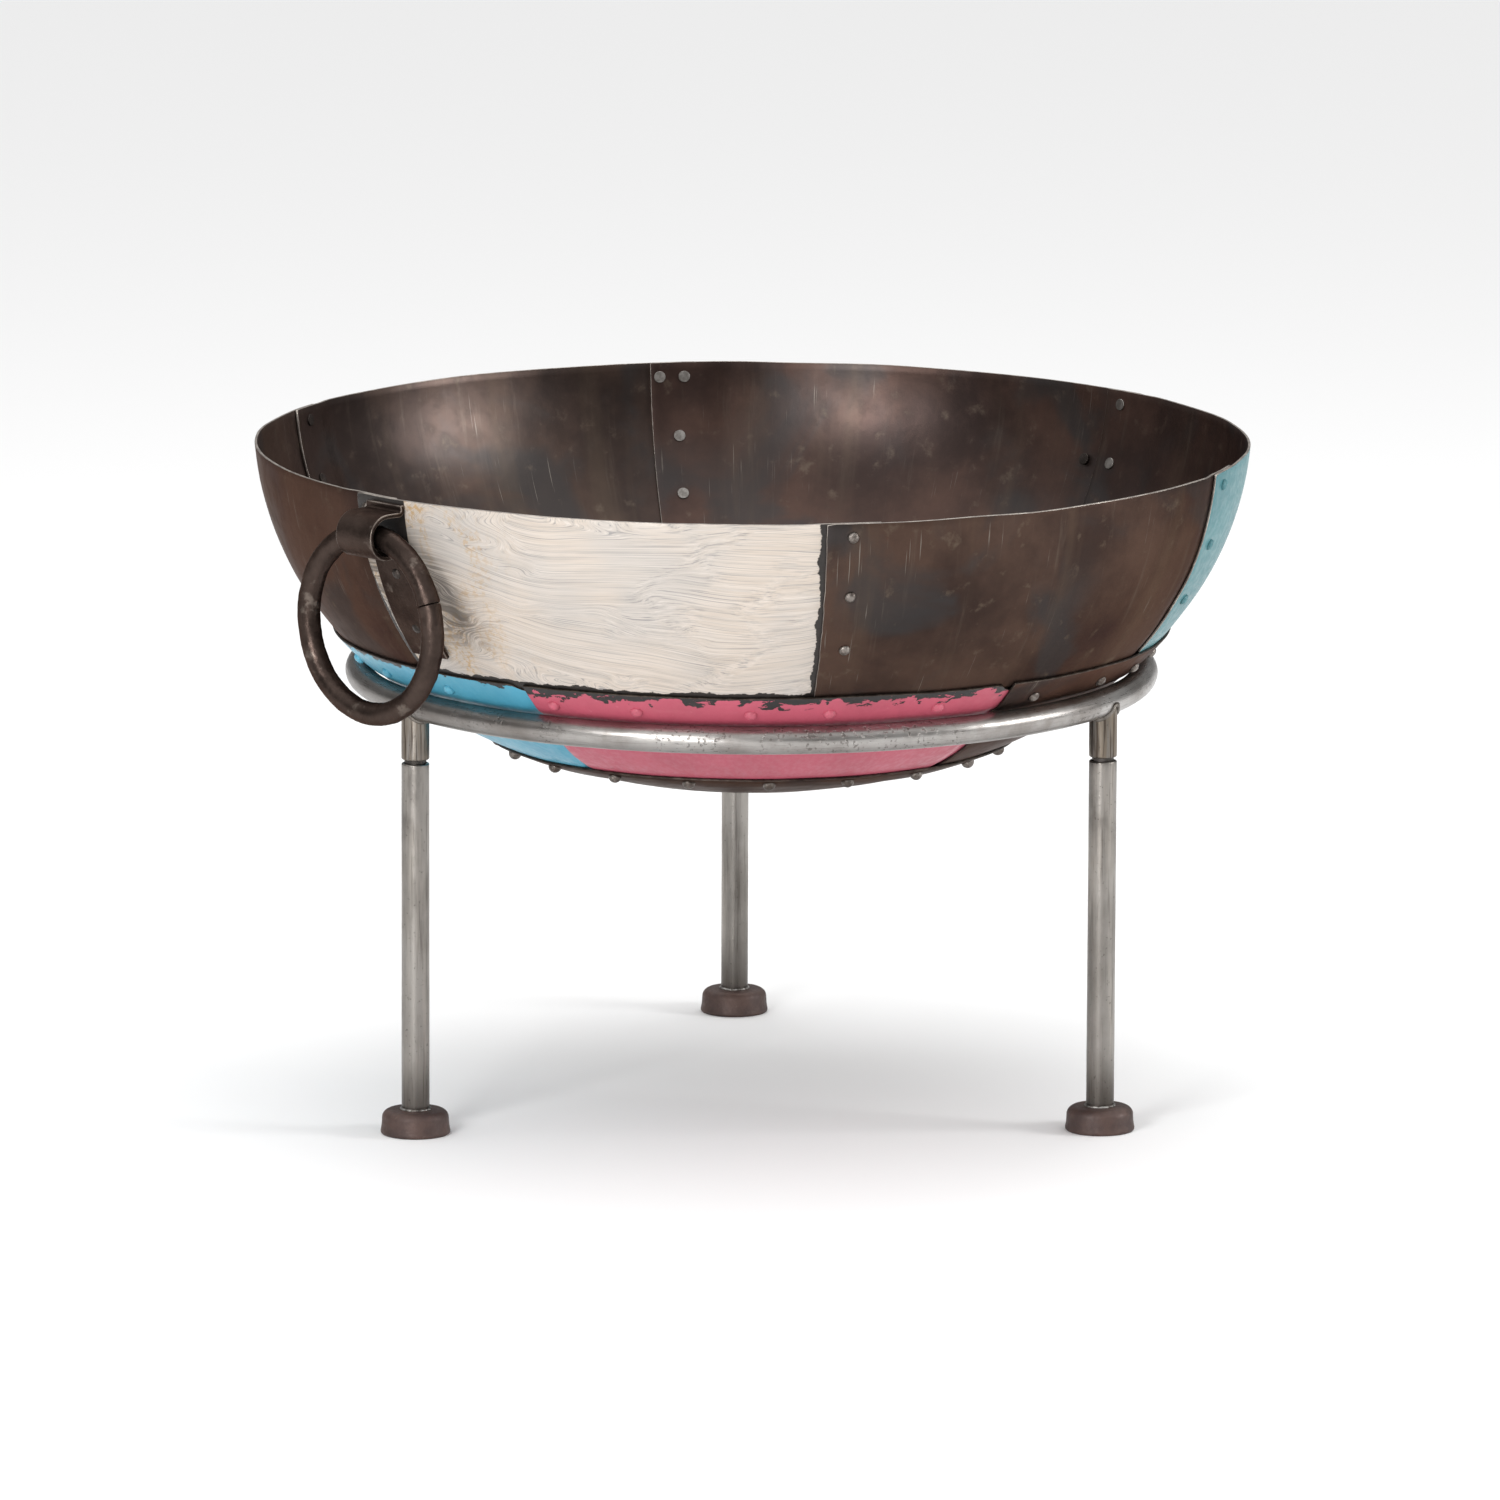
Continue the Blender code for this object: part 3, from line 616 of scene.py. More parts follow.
def stand_ring(material):
    marks = dents()
    verts, uvs = [], []
    for i in range(RING_STATIONS):
        angle = 360 * i / RING_STATIONS
        close = [mark for mark in marks if abs(turned(angle, mark[0])) < 1.2]
        for j in range(RING_SIDES):
            roll = 360 * j / RING_SIDES
            turn = math.radians(roll)
            spot = outward(angle) * 9 + round_point(turn)
            radius = TUBE_R * (1 + 0.012 * noise.noise(spot))
            for middle, height, size, depth in close:
                reach = math.hypot(
                    math.radians(turned(angle, middle)) * RING_R, math.radians(turned(roll, height)) * TUBE_R
                )
                radius -= depth * math.exp(-((reach / size * 1.6) ** 2))
            r = RING_R + radius * math.cos(turn)
            verts.append(outward(angle) * r + Vector((0, 0, RING_Z + radius * math.sin(turn))))
            uvs.append((math.radians(angle) * RING_R, turn * TUBE_R))
    faces = grid_faces(RING_STATIONS, RING_SIDES, wrap_rows=True, wrap_columns=True)
    obj = add_object("stand_ring_tube", verts, faces, uvs, "stand", ("stand_ring",))
    paint(obj, material)


def turned_piece(node, ending, profile, foot, body, material, rough, around=TUBE_SIDES, top=None):
    """A turned piece at foot, from a closed profile of (radius, height) pairs. top may move each point."""
    verts, uvs = [], []
    for r, z in profile:
        for j in range(around):
            turn = math.tau * j / around
            spot = round_point(turn, 1, z * 30) * 1.3 + foot
            here = r * (1 + rough * noise.noise(spot))
            point = foot + round_point(turn, here, z)
            verts.append(top(point) if top else point)
            uvs.append((turn * r, z))
    closed = profile[0][0] > 0
    faces = [face[::-1] for face in grid_faces(len(profile), around, wrap_rows=closed, wrap_columns=True)]
    obj = add_object(node + ending, verts, faces, uvs, body, (node,))
    if not closed:
        merge_points(obj)
    paint(obj, material)
    sharpen(obj, 45)


def tube_profile(bottom, top, round_off):
    inner, edge = TUBE_R - TUBE_WALL, TUBE_R - round_off
    return [
        (inner, top),
        (edge, top),
        *arc((edge, top - round_off), round_off, 80, 10, 3),
        *[(TUBE_R, z) for z in spread(top - round_off, bottom + round_off, 0.004)],
        *arc((edge, bottom + round_off), round_off, -10, -80, 3),
        (edge, bottom),
        (inner, bottom),
    ]


def weld_bead(name, points, width, body, material):
    """A closed bead of weld along a loop of points, in overlapping ripples."""
    verts, uvs = [], []
    for i, point in enumerate(points):
        ahead = (points[(i + 1) % len(points)] - points[i - 1]).normalized()
        side = ahead.cross(UP).normalized()
        up = side.cross(ahead)
        ripple = 1 + 0.16 * abs(math.sin(i * 1.1)) + 0.25 * noise.noise(point * 160)
        for j in range(WELD_SIDES):
            turn = math.tau * j / WELD_SIDES
            verts.append(point + swung(side, up, turn) * width * ripple)
            uvs.append((i * 0.002, turn * width))
    faces = [face[::-1] for face in grid_faces(len(points), WELD_SIDES, wrap_rows=True, wrap_columns=True)]
    obj = add_object(name, verts, faces, uvs, body, ())
    paint(obj, material)


def around_leg(foot, radius, height):
    """The points of a weld round a leg. height(point) gives each point's height."""
    points = []
    for i in range(WELD_STATIONS):
        spot = foot + round_point(math.tau * i / WELD_STATIONS) * radius
        points.append(Vector((spot.x, spot.y, height(spot))))
    return points


def under_ring(point, radius):
    """The height of the underside of a ring of that tube radius, above or below the point."""
    off = math.hypot(point.x, point.y) - RING_R
    return RING_Z - math.sqrt(max(0.0, radius**2 - off**2))


def leg(number, angle, mats):
    foot = outward(angle) * RING_R
    pieces = ("leg_stub", "leg_spigot", "leg_tube", "foot")
    stub, spigot, tube, base = (f"{piece}_{number}" for piece in pieces)
    body = f"leg_{number}"

    def moulded(point):
        """Fits the top of a stub to the underside of the ring."""
        if point.z < RING_Z - TUBE_R - 0.004:
            return point
        return Vector((point.x, point.y, under_ring(point, TUBE_R - RING_SINK)))

    low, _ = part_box(stub)
    profile = tube_profile(low[2], STUB_TOP_Z, STUB_ROUND)
    turned_piece(stub, "_tube", profile, foot, "stand", mats["stub"], 0.01, top=moulded)
    points = around_leg(foot, TUBE_R + 0.0004, lambda spot: under_ring(spot, TUBE_R) - 0.0008)
    weld_bead(f"ring_weld_{number}", points, RING_WELD_R, "stand", mats["weld"])

    low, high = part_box(spigot)
    profile = [(0, high[2]), (SPIGOT_R, high[2]), (SPIGOT_R, low[2] + SPIGOT_CHAMFER)]
    profile += [(SPIGOT_TIP_R, low[2]), (0, low[2])]
    turned_piece(spigot, "_rod", profile, foot, "stand", mats["spigot"], 0.01, SPIGOT_SIDES)

    low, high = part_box(tube)
    profile = tube_profile(low[2] - 0.0003, high[2], LEG_ROUND)
    turned_piece(tube, "_steel", profile, foot, body, mats["leg"], 0.008)

    low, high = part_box(base)
    radius = (high[0] - low[0]) / 2
    crown = arc((radius - 0.0080, high[2] - FOOT_ROUND), FOOT_ROUND, 90, 8, 8)
    side = ((0.0009, 0.007), (0.0003, 0.0035), (0, 0.0022), (0.0002, 0.0008), (0.001, 0))
    profile = [(0, high[2]), (radius - 0.014, high[2]), *crown, *((radius - r, z) for r, z in side), (0, 0)]
    turned_piece(base, "_cast", profile, foot, body, mats["foot"], 0.012)
    points = around_leg(foot, TUBE_R + 0.0003, lambda spot: high[2] + 0.0004)
    weld_bead(f"foot_weld_{number}", points, FOOT_WELD_R, body, mats["foot_weld"])


# ---------- finishes


class Finish:
    """Builds one material's nodes. Each step returns a socket for the next."""

    def __init__(self, name):
        self.material = bpy.data.materials.new(name)
        self.material.use_nodes = True
        self.tree = self.material.node_tree
        self.shader = self.tree.nodes["Principled BSDF"]
        source = self.tree.nodes.new("ShaderNodeUVMap")
        source.uv_map = "skin"
        self.uv = source.outputs["UV"]
        self.place = self.tree.nodes.new("ShaderNodeTexCoord").outputs["Object"]

    def put(self, value, socket):
        if isinstance(value, bpy.types.NodeSocket):
            self.tree.links.new(value, socket)
        elif isinstance(value, tuple) and len(value) == 3 and socket.type == "RGBA":
            socket.default_value = (*value, 1)
        else:
            socket.default_value = value

    def node(self, kind, inputs, **settings):
        made = self.tree.nodes.new(kind)
        for key, value in settings.items():
            setattr(made, key, value)
        for key, value in inputs.items():
            self.put(value, made.inputs[key])
        return made

    def stretch(self, vector, scale, shift=(0, 0, 0)):
        inputs = {"Vector": vector, "Scale": scale, "Location": shift}
        return self.node("ShaderNodeMapping", inputs).outputs[0]

    def noise(self, vector, scale, detail=4.0, roughness=0.55, warp=0.0):
        """scale is one number, or three when the noise is stretched."""
        if isinstance(scale, tuple):
            vector, scale = self.stretch(vector, scale), 1
        inputs = {"Vector": vector, "Scale": scale, "Detail": detail, "Roughness": roughness}
        return self.node("ShaderNodeTexNoise", {**inputs, "Distortion": warp}).outputs["Fac"]

    def fade(self, value, low, high, to_low=0.0, to_high=1.0):
        inputs = {"Value": value, "From Min": low, "From Max": high, "To Min": to_low, "To Max": to_high}
        return self.node("ShaderNodeMapRange", inputs, interpolation_type="SMOOTHSTEP").outputs[0]

    def blend(self, share, one, other):
        made = self.node("ShaderNodeMix", {}, data_type="RGBA")
        self.put(share, made.inputs[0])
        self.put(one, made.inputs[6])
        self.put(other, made.inputs[7])
        return made.outputs[2]

    def spots(self, colour, value, low, high, most, other):
        """Lays up to that much of the other colour over a colour, where the value is high."""
        return self.blend(self.fade(value, low, high, 0, most), colour, other)

    def maths(self, operation, one, other=0.0):
        made = self.node("ShaderNodeMath", {}, operation=operation)
        self.put(one, made.inputs[0])
        self.put(other, made.inputs[1])
        return made.outputs[0]

    def plus(self, one, other):
        return self.maths("ADD", one, other)

    def minus(self, one, other):
        return self.maths("SUBTRACT", one, other)

    def times(self, one, other):
        return self.maths("MULTIPLY", one, other)

    def most(self, one, other):
        return self.maths("MAXIMUM", one, other)

    def size(self, value):
        return self.maths("ABSOLUTE", value)

    def parts(self, vector):
        return self.node("ShaderNodeSeparateXYZ", {"Vector": vector}).outputs

    def bump(self, height, distance, strength=1.0, under=None):
        inputs = {"Height": height, "Distance": distance, "Strength": strength}
        if under:
            inputs["Normal"] = under
        return self.node("ShaderNodeBump", inputs).outputs[0]

    def done(self, colour, roughness, metallic, normal=None, **plain):
        self.put(colour, self.shader.inputs["Base Color"])
        self.put(roughness, self.shader.inputs["Roughness"])
        self.put(metallic, self.shader.inputs["Metallic"])
        if normal:
            self.put(normal, self.shader.inputs["Normal"])
        for name, value in plain.items():
            self.shader.inputs[name.replace("_", " ")].default_value = value
        return self.material


EDGE_TINT = (0.44, 0.375, 0.35, 1.0)  # keeps dark steel dark where it is seen at a low angle


def brown_steel(name, shift, warm, gloss=0.38, oiled=0.0, level=False):
    """Heat-darkened sheet: brown and blue clouds, scratches, and streaks down it unless it lies level."""
    finish = Finish(name)
    vector = finish.stretch(finish.place, (1, 1, 1), (shift, shift * 0.7, 0))
    sheet_place = finish.place if level else finish.uv
    lanes = finish.stretch(sheet_place, (1, 0.6, 1) if level else (1, 0.10, 1), (shift, 0, 0))
    wide = finish.noise(vector, 7, 6, 0.6)
    fine = finish.noise(vector, 60, 5, 0.6)
    dark, brown = (0.034 * warm, 0.0215, 0.018), (0.080 * warm, 0.049, 0.037)
    colour = finish.blend(finish.fade(wide, 0.36, 0.66), dark, brown)
    blue = finish.fade(finish.noise(vector, 10, 4, 0.5, 0.6), 0.48, 0.66, 0, 0.70)
    colour = finish.blend(blue, colour, (0.037, 0.037, 0.038))
    drips, streaks = finish.noise(lanes, 22, 4, 0.6), finish.noise(lanes, 75, 4, 0.65)
    colour = finish.spots(colour, drips, 0.50, 0.74, 0.32, (0.115, 0.080, 0.055))
    colour = finish.spots(colour, streaks, 0.56, 0.78, 0.28, (0.15, 0.12, 0.095))
    colour = finish.spots(colour, fine, 0.58, 0.78, 0.5, (0.15, 0.115, 0.085))
    scratch = finish.noise(finish.stretch(sheet_place, (520, 16, 1), (shift, 0, 0)), 1, 2, 0.5)
    rubbed = finish.times(finish.fade(scratch, 0.66, 0.74), finish.fade(wide, 0.48, 0.60, 0, 0.7))
    colour = finish.blend(rubbed, colour, (0.26, 0.23, 0.20))
    rough = finish.fade(wide, 0.3, 0.7, gloss - 0.05, gloss + 0.07)
    rough = finish.plus(rough, finish.fade(fine, 0.4, 0.7, 0, 0.08))
    normal = finish.bump(finish.noise(vector, 38, 3, 0.5), 0.0012, 0.25)
    normal = finish.bump(fine, 0.0004, 0.35, normal)
    coat = {"Coat_Weight": oiled, "Coat_Roughness": 0.34}
    return finish.done(colour, rough, 0.85 - 0.6 * oiled, normal, Specular_Tint=EDGE_TINT, **coat)


def plain_metal(name, dark, light, roughness, scale, bump=0.3, metallic=1.0):
    finish = Finish(name)
    wide = finish.noise(finish.place, scale, 6, 0.6)
    fine = finish.noise(finish.place, scale * 9, 4, 0.6)
    colour = finish.blend(finish.fade(wide, 0.35, 0.65), dark, light)
    colour = finish.blend(finish.fade(fine, 0.55, 0.75, 0, 0.5), colour, tuple(c * 0.45 for c in dark))
    rough = finish.fade(fine, 0.3, 0.7, roughness - 0.06, roughness + 0.12)
    return finish.done(colour, rough, metallic, finish.bump(fine, 0.0005, bump))


def old_paint(name, base, shade, pale, edges):
    """Old paint on steel, chipped and grimy. edges(finish, u, v, ragged) is the mask of its bare places."""
    finish = Finish(name)
    u, v, _ = finish.parts(finish.uv)
    ragged = finish.noise(finish.stretch(finish.uv, (0.55, 1.4, 1)), 105, 5, 0.66, 0.3)
    wide = finish.noise(finish.uv, 14, 5, 0.55)
    fine = finish.noise(finish.uv, 130, 5, 0.6)
    colour = finish.blend(finish.fade(wide, 0.35, 0.68), base, shade)
    colour = finish.blend(finish.fade(fine, 0.60, 0.78, 0, 0.55), colour, pale)
    bare = edges(finish, u, v, ragged)
    colour = finish.blend(bare, colour, (0.020, 0.018, 0.018))
    rough = finish.fade(fine, 0.3, 0.7, 0.35, 0.55)
    height = finish.minus(finish.times(fine, 0.3), bare)
    normal = finish.bump(height, 0.0004, 0.5)
    return finish.done(colour, rough, 0.0, normal, Specular_IOR_Level=0.32, Coat_Weight=0.08)


def along(angle):
    return math.radians(angle) * SKIN_RADIUS


def down(z):
    return skin_uv(0, theta_at_height(z))[1]


def top_smear(deep, join=None):
    """A ragged black smear, about deep metres high, under a top edge and beside the seam at join degrees."""

    def edges(finish, u, v, ragged):
        drop = finish.minus(v, down(MIDDLE_TOP_Z))
        patch = finish.noise(finish.uv, (26, 1, 1), 3, 0.6)
        reach = finish.fade(patch, 0.46, 0.62, deep, deep * 0.15)
        reach = finish.times(reach, finish.fade(ragged, 0.32, 0.62, 0.0, 1.5))
        smear = finish.fade(finish.minus(reach, drop), 0.0, 0.0005)
        if join is None:
            return smear
        near = finish.fade(finish.size(finish.minus(u, along(join))), 0.0, 0.011, 1, 0)
        high = finish.fade(drop, 0.014, 0.004)
        spot = finish.times(finish.times(near, high), ragged)
        return finish.most(smear, finish.fade(spot, 0.26, 0.28))

    return edges


def few_chips(finish, u, v, ragged):
    return finish.fade(ragged, 0.73, 0.75)


def cream_paint():
    """Brushed on in long wavering strokes, stained with rust on the left and chipped along its edges."""
    finish = Finish("cream_paint")
    u, v, _ = finish.parts(finish.uv)
    tilt = finish.fade(u, along(-45), along(-25), 0.030, 0.0)
    passes = finish.fade(finish.noise(finish.uv, (6, 13, 1), 2, 0.5), 0.42, 0.58)
    sway = finish.noise(finish.uv, (4, 3, 1), 1, 0.4)
    across = finish.times(u, finish.fade(passes, 0, 1, -0.03, 0.07))
    bent = finish.plus(finish.plus(v, tilt), finish.fade(sway, 0.25, 0.75, -0.010, 0.010))
    bent = finish.plus(bent, across)
    lanes = finish.node("ShaderNodeCombineXYZ", {"X": u, "Y": bent, "Z": passes}).outputs[0]
    hairs = finish.noise(lanes, (7, 1300, 3), 3, 0.65)
    stroke = finish.noise(lanes, (9, 420, 3), 4, 0.66)
    broad = finish.noise(lanes, (6, 90, 3), 4, 0.6)
    clouds = finish.noise(finish.uv, 9, 3, 0.5)
    colour = finish.blend(finish.fade(broad, 0.34, 0.66), (0.55, 0.485, 0.425), (0.50, 0.43, 0.365))
    colour = finish.spots(colour, clouds, 0.42, 0.66, 0.6, (0.42, 0.40, 0.38))
    colour = finish.spots(colour, stroke, 0.50, 0.66, 0.55, (0.34, 0.315, 0.295))
    colour = finish.spots(colour, hairs, 0.53, 0.66, 0.75, (0.22, 0.215, 0.215))
    colour = finish.spots(colour, hairs, 0.46, 0.32, 0.40, (0.70, 0.65, 0.60))
    speck = finish.noise(finish.uv, 230, 3, 0.6)
    near_strap = finish.fade(u, along(-44.5), along(-27), 1, 0)
    patch = finish.fade(finish.noise(finish.uv, (24, 14, 1), 4, 0.6, 0.5), 0.44, 0.60)
    ochre = finish.times(finish.times(near_strap, patch), finish.fade(speck, 0.46, 0.60, 0.12, 1))
    colour = finish.blend(finish.times(ochre, 0.8), colour, (0.42, 0.26, 0.10))
    beside = finish.fade(finish.minus(u, finish.times(v, 0.38)), along(-45.5), along(-40.0), 1, 0)
    band = finish.fade(finish.size(finish.minus(v, 0.080)), 0.018, 0.060, 1, 0)
    grime = finish.times(finish.times(beside, band), finish.fade(stroke, 0.36, 0.56, 0.25, 1))
    colour = finish.blend(finish.times(grime, 0.85), colour, (0.085, 0.065, 0.050))
    ragged = finish.noise(finish.stretch(finish.uv, (0.6, 1, 1)), 150, 4, 0.65, 0.3)
    wobble = finish.fade(ragged, 0.3, 0.7, -0.0013, 0.0013)
    patchy = finish.fade(finish.noise(finish.uv, 24, 2, 0.5), 0.35, 0.65, -0.0016, 0.0016)
    right = finish.fade(finish.plus(finish.plus(u, wobble), patchy), along(5.25), along(5.35))
    low = finish.fade(finish.plus(finish.plus(v, wobble), patchy), down(0.3890), down(0.3885))
    by_strap = finish.fade(u, along(-45.45), along(-45.35), 1, 0)
    by_strap = finish.times(by_strap, finish.fade(v, 0.039, 0.040, 1, 0))
    lean = finish.minus(u, finish.times(v, 0.06))
    edge = finish.fade(finish.plus(lean, finish.times(wobble, 0.25)), along(-53.75), along(-53.65), 1, 0)
    chips = finish.fade(finish.noise(finish.uv, 160, 4, 0.6), 0.66, 0.68)
    bare = finish.most(finish.most(right, low), finish.most(by_strap, edge))
    bare = finish.most(bare, finish.times(chips, finish.fade(u, along(-50.5), along(-50), 1, 0)))
    colour = finish.blend(bare, colour, (0.015, 0.011, 0.009))
    rough = finish.fade(hairs, 0.3, 0.7, 0.45, 0.62)
    height = finish.plus(finish.times(hairs, 0.35), finish.times(stroke, 0.9))
    height = finish.minus(height, bare)
    return finish.done(colour, rough, 0.0, finish.bump(height, 0.0005, 0.40))


def ring_steel():
    """Rubbed bright along the ring, with painted shade darkening it towards the left, and small dark pits."""
    finish = Finish("bright_tube")
    wide = finish.noise(finish.place, 14, 5, 0.6)
    fine = finish.noise(finish.uv, (30, 900, 1), 4, 0.6)
    spots = finish.noise(finish.place, 330, 3, 0.55)
    clusters = finish.noise(finish.place, 16, 2, 0.5)
    colour = finish.blend(finish.fade(wide, 0.35, 0.68), (0.40, 0.385, 0.37), (0.22, 0.20, 0.185))
    colour = finish.spots(colour, fine, 0.5, 0.75, 0.45, (0.12, 0.108, 0.098))
    # painted shade: the left side of the ring is darkened in its colour, as if less lit
    left_shade = finish.fade(finish.parts(finish.place)[0], -0.10, -0.30, 0, 0.6)
    colour = finish.blend(left_shade, colour, (0.11, 0.095, 0.083))
    pits = finish.times(finish.fade(spots, 0.57, 0.63), finish.fade(clusters, 0.46, 0.56, 0.10, 1))
    colour = finish.blend(finish.times(pits, 0.55), colour, (0.070, 0.058, 0.050))
    rough = finish.fade(fine, 0.3, 0.7, 0.26, 0.40)
    height = finish.minus(finish.times(spots, 0.3), pits)
    return finish.done(colour, rough, 0.95, finish.bump(height, 0.0005, 0.6))


def leg_steel(name, shift, scorched=0.0):
    """Tube with mill scale in fine streaks down it, darker near its ends. scorched darkens it near a weld."""
    finish = Finish(name)
    _, v, _ = finish.parts(finish.uv)
    vector = finish.stretch(finish.place, (1, 1, 0.06), (shift, 0, 0))
    streak = finish.noise(vector, 110, 4, 0.65)
    thin = finish.noise(finish.stretch(finish.place, (1, 1, 0.035)), 420, 3, 0.6)
    wide = finish.noise(finish.stretch(finish.place, (1, 1, 0.5), (shift, 0, shift)), 22, 5, 0.6)
    fine = finish.noise(finish.place, 300, 4, 0.6)
    colour = finish.blend(finish.fade(wide, 0.35, 0.68), (0.29, 0.272, 0.252), (0.19, 0.175, 0.158))
    colour = finish.spots(colour, streak, 0.46, 0.66, 0.55, (0.38, 0.35, 0.315))
    colour = finish.spots(colour, thin, 0.55, 0.72, 0.55, (0.09, 0.078, 0.066))
    if scorched:
        burnt = finish.times(finish.fade(streak, 0.36, 0.58), scorched)
        colour = finish.blend(burnt, colour, (0.15, 0.115, 0.080))
        colour = finish.spots(colour, thin, 0.50, 0.62, scorched, (0.050, 0.038, 0.030))
    else:
        near_top = finish.times(finish.fade(v, 0.232, 0.262), finish.fade(wide, 0.40, 0.58, 0.25, 1))
        colour = finish.blend(finish.times(near_top, 0.65), colour, (0.065, 0.055, 0.048))
        colour = finish.spots(colour, v, 0.075, 0.022, 0.75, (0.060, 0.050, 0.043))
    colour = finish.spots(colour, fine, 0.62, 0.72, 0.6, (0.06, 0.05, 0.043))
    rough = finish.fade(wide, 0.3, 0.7, 0.30, 0.44)
    return finish.done(colour, rough, 0.95, finish.bump(fine, 0.0003, 0.35))


def forged_iron():
    finish = Finish("forged_iron")
    wide = finish.noise(finish.place, 22, 5, 0.6)
    fine = finish.noise(finish.place, 170, 5, 0.65)
    worn = finish.noise(finish.place, 60, 4, 0.6)
    colour = finish.blend(finish.fade(wide, 0.35, 0.65), (0.034, 0.024, 0.020), (0.062, 0.044, 0.037))
    colour = finish.spots(colour, worn, 0.58, 0.70, 0.6, (0.17, 0.14, 0.12))
    colour = finish.spots(colour, fine, 0.62, 0.80, 0.6, (0.020, 0.017, 0.015))
    rough = finish.fade(fine, 0.3, 0.7, 0.28, 0.46)
    height = finish.plus(finish.times(fine, 0.6), worn)
    return finish.done(colour, rough, 0.85, finish.bump(height, 0.0011, 0.6), Specular_Tint=EDGE_TINT)


def foot_iron():
    finish = Finish("foot_iron")
    wide = finish.noise(finish.place, 40, 5, 0.6)
    fine = finish.noise(finish.place, 260, 5, 0.65)
    colour = finish.blend(finish.fade(wide, 0.35, 0.68), (0.060, 0.038, 0.034), (0.098, 0.060, 0.050))
    colour = finish.spots(colour, fine, 0.60, 0.80, 0.6, (0.16, 0.12, 0.10))
    rough = finish.fade(fine, 0.3, 0.7, 0.46, 0.64)
    return finish.done(colour, rough, 0.35, finish.bump(fine, 0.0006, 0.45))


# ---------- floor, light and camera


def stage():
    bpy.ops.mesh.primitive_plane_add(size=FLOOR_SIZE, location=(0, 0, -FLOOR_DROP))
    floor = bpy.context.object
    floor.name = "floor"
    material = bpy.data.materials.new("pale_floor")
    material.use_nodes = True
    shader = material.node_tree.nodes["Principled BSDF"]
    shader.inputs["Base Color"].default_value = (0.93, 0.93, 0.93, 1)
    shader.inputs["Roughness"].default_value = 0.9
    shader.inputs["Specular IOR Level"].default_value = 0.1
    paint(floor, material)


def light_scene():
    world = bpy.data.worlds.new("studio")
    bpy.context.scene.world = world
    world.use_nodes = True
    tree = world.node_tree
    background = tree.nodes["Background"]
    direction = tree.nodes.new("ShaderNodeTexCoord").outputs["Generated"]
    split = tree.nodes.new("ShaderNodeSeparateXYZ")
    tree.links.new(direction, split.inputs[0])
    rise = tree.nodes.new("ShaderNodeMapRange")
    for key, value in zip(("From Min", "From Max", "To Min", "To Max"), SKY_FADE):
        rise.inputs[key].default_value = value
    tree.links.new(split.outputs["Z"], rise.inputs["Value"])
    background.inputs["Color"].default_value = (1, 1, 1, 1)
    tree.links.new(rise.outputs[0], background.inputs["Strength"])
    for name, angle, lift, distance, size, power in SOFT_LIGHTS:
        light = bpy.data.lights.new(name, "AREA")
        light.shape = "RECTANGLE"
        light.size, light.size_y = size
        light.energy = power
        obj = into_scene(name, light)
        way = swung(outward(angle), UP, math.radians(lift))
        obj.location = UP * LIGHT_AIM_Z + way * distance
        obj.rotation_euler = (-way).to_track_quat("-Z", "Y").to_euler()


def set_camera():
    back = swung(outward(CAMERA_ANGLE), UP, math.radians(CAMERA_RISE))
    right = tangent(CAMERA_ANGLE)
    up = back.cross(right)
    roll = math.radians(CAMERA_ROLL)
    across, above = swung(right, up, roll), swung(up, -right, roll)
    aside, height = CAMERA_AIM
    camera = bpy.data.cameras.new("camera")
    camera.sensor_width = SENSOR_WIDTH
    camera.lens = SENSOR_WIDTH * CAMERA_DISTANCE / PICTURE_WIDTH
    camera.clip_end = 100
    obj = into_scene("camera", camera)
    place = UP * height + right * aside + back * CAMERA_DISTANCE
    obj.matrix_world = Matrix.Translation(place) @ Matrix((across, above, back)).transposed().to_4x4()
    bpy.context.scene.camera = obj
    bpy.context.scene.view_settings.view_transform = "Standard"


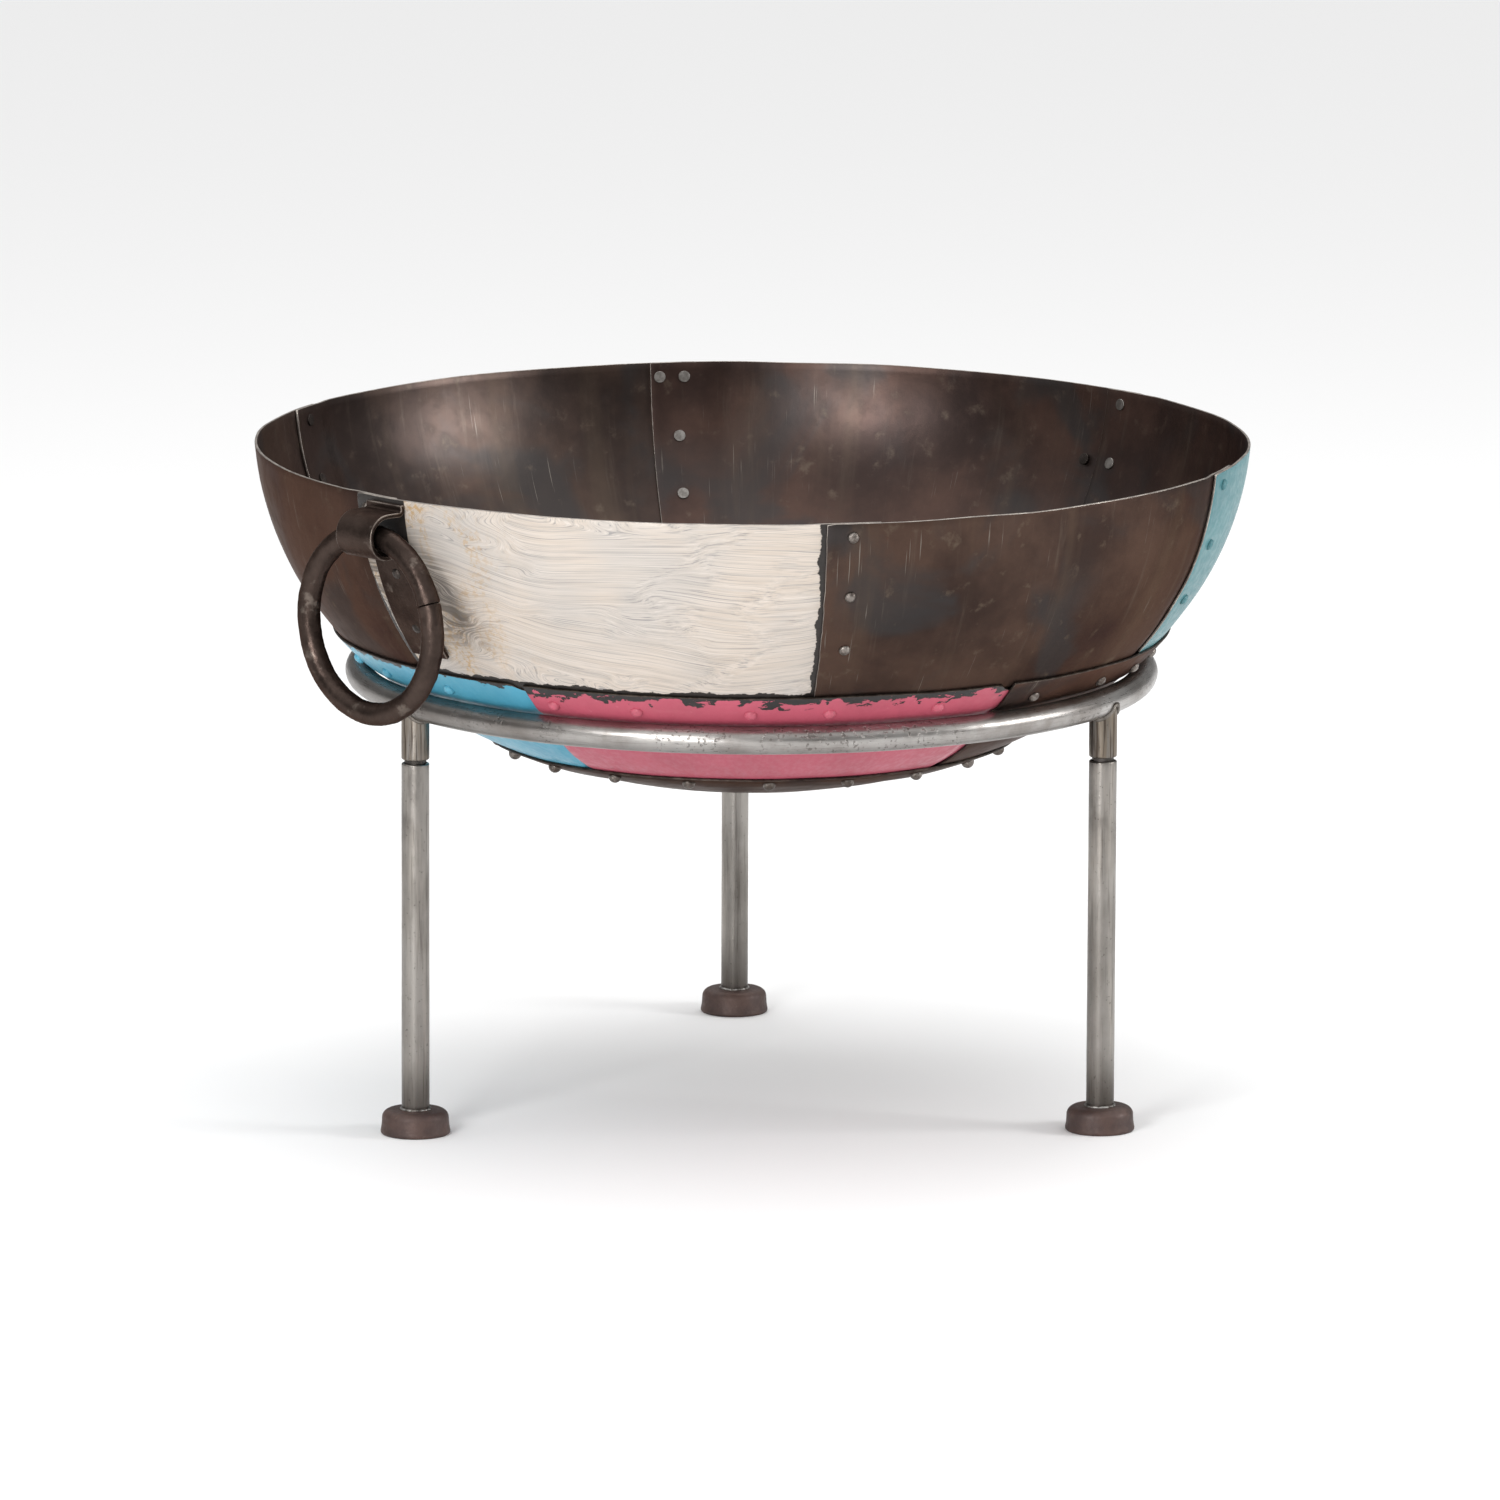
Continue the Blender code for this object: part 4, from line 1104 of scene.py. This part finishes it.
def main():
    worn = plain_metal("worn_edge", (0.42, 0.38, 0.34), (0.24, 0.21, 0.19), 0.42, 60)
    mats = {
        "rivet": plain_metal("rivet_head", (0.25, 0.225, 0.205), (0.09, 0.072, 0.062), 0.38, 160, 0.6),
        "disc": plain_metal("rivet_tail", (0.34, 0.32, 0.30), (0.20, 0.185, 0.17), 0.45, 160, 0.3),
        "iron": plain_metal("iron_head", (0.075, 0.062, 0.056), (0.045, 0.038, 0.034), 0.42, 120, 0.5),
        "pink_head": plain_metal("pink_head", *PINK[:2], 0.42, 150, 0.5, 0.0),
        "blue_head": plain_metal("blue_head", *BLUE[:2], 0.38, 150, 0.5, 0.0),
        "turquoise_head": plain_metal("turquoise_head", *TURQUOISE[:2], 0.40, 150, 0.5, 0.0),
        "pink": old_paint("pink_paint", *PINK, top_smear(0.0095, -34.0)),
        "blue": old_paint("blue_paint", *BLUE, top_smear(0.0040)),
        "turquoise": old_paint("turquoise_paint", *TURQUOISE, few_chips),
        "stub": leg_steel("stub_steel", 3.0, 0.75),
        "weld": plain_metal("weld", (0.22, 0.20, 0.18), (0.13, 0.115, 0.10), 0.45, 150, 0.5),
        "foot_weld": plain_metal("foot_weld", (0.10, 0.085, 0.075), (0.45, 0.44, 0.42), 0.42, 190, 0.5),
        "spigot": plain_metal("spigot_steel", (0.10, 0.09, 0.085), (0.05, 0.045, 0.04), 0.5, 90),
        "leg": leg_steel("leg_steel", 0.0),
        "foot": foot_iron(),
    }
    warm = brown_steel("inner_steel_warm", 2.0, 1.12, 0.33, 0.3)
    cool = brown_steel("inner_steel_cool", 5.0, 1.00, 0.33, 0.3)
    dish_inside = brown_steel("dish_steel", 7.0, 1.0, 0.36, 0.3, True)
    dull_edge = plain_metal("dull_edge", (0.045, 0.036, 0.030), (0.095, 0.078, 0.066), 0.45, 120)
    sides = [brown_steel(f"brown_steel_{i + 1}", 1.3 * i, 1.0 + 0.05 * (i % 3)) for i in range(3)]
    uppers = (cream_paint(), sides[0], mats["turquoise"], sides[1], sides[2], sides[1])
    for index, outside in enumerate(uppers):
        upper_plate(index, (outside, warm if index in (1, 2, 3) else cool, worn))
    middles = (mats["pink"], sides[2], sides[0], sides[1], mats["blue"])
    for index, outside in enumerate(middles):
        middle_plate(index, (outside, cool, dull_edge))
    bottom_dish((sides[1], dish_inside, dull_edge))
    all_rivets(mats)
    iron = forged_iron()
    rubbed = plain_metal("rubbed_iron", (0.26, 0.22, 0.19), (0.09, 0.068, 0.058), 0.34, 70, 0.4)
    for index in range(len(HANDLE_ANGLES)):
        strap(index, iron, rubbed)
        handle_ring(index, iron)
    stand_ring(ring_steel())
    for number, angle in enumerate(LEG_ANGLES, 1):
        leg(number, angle, mats)
    stage()
    light_scene()
    set_camera()


main()
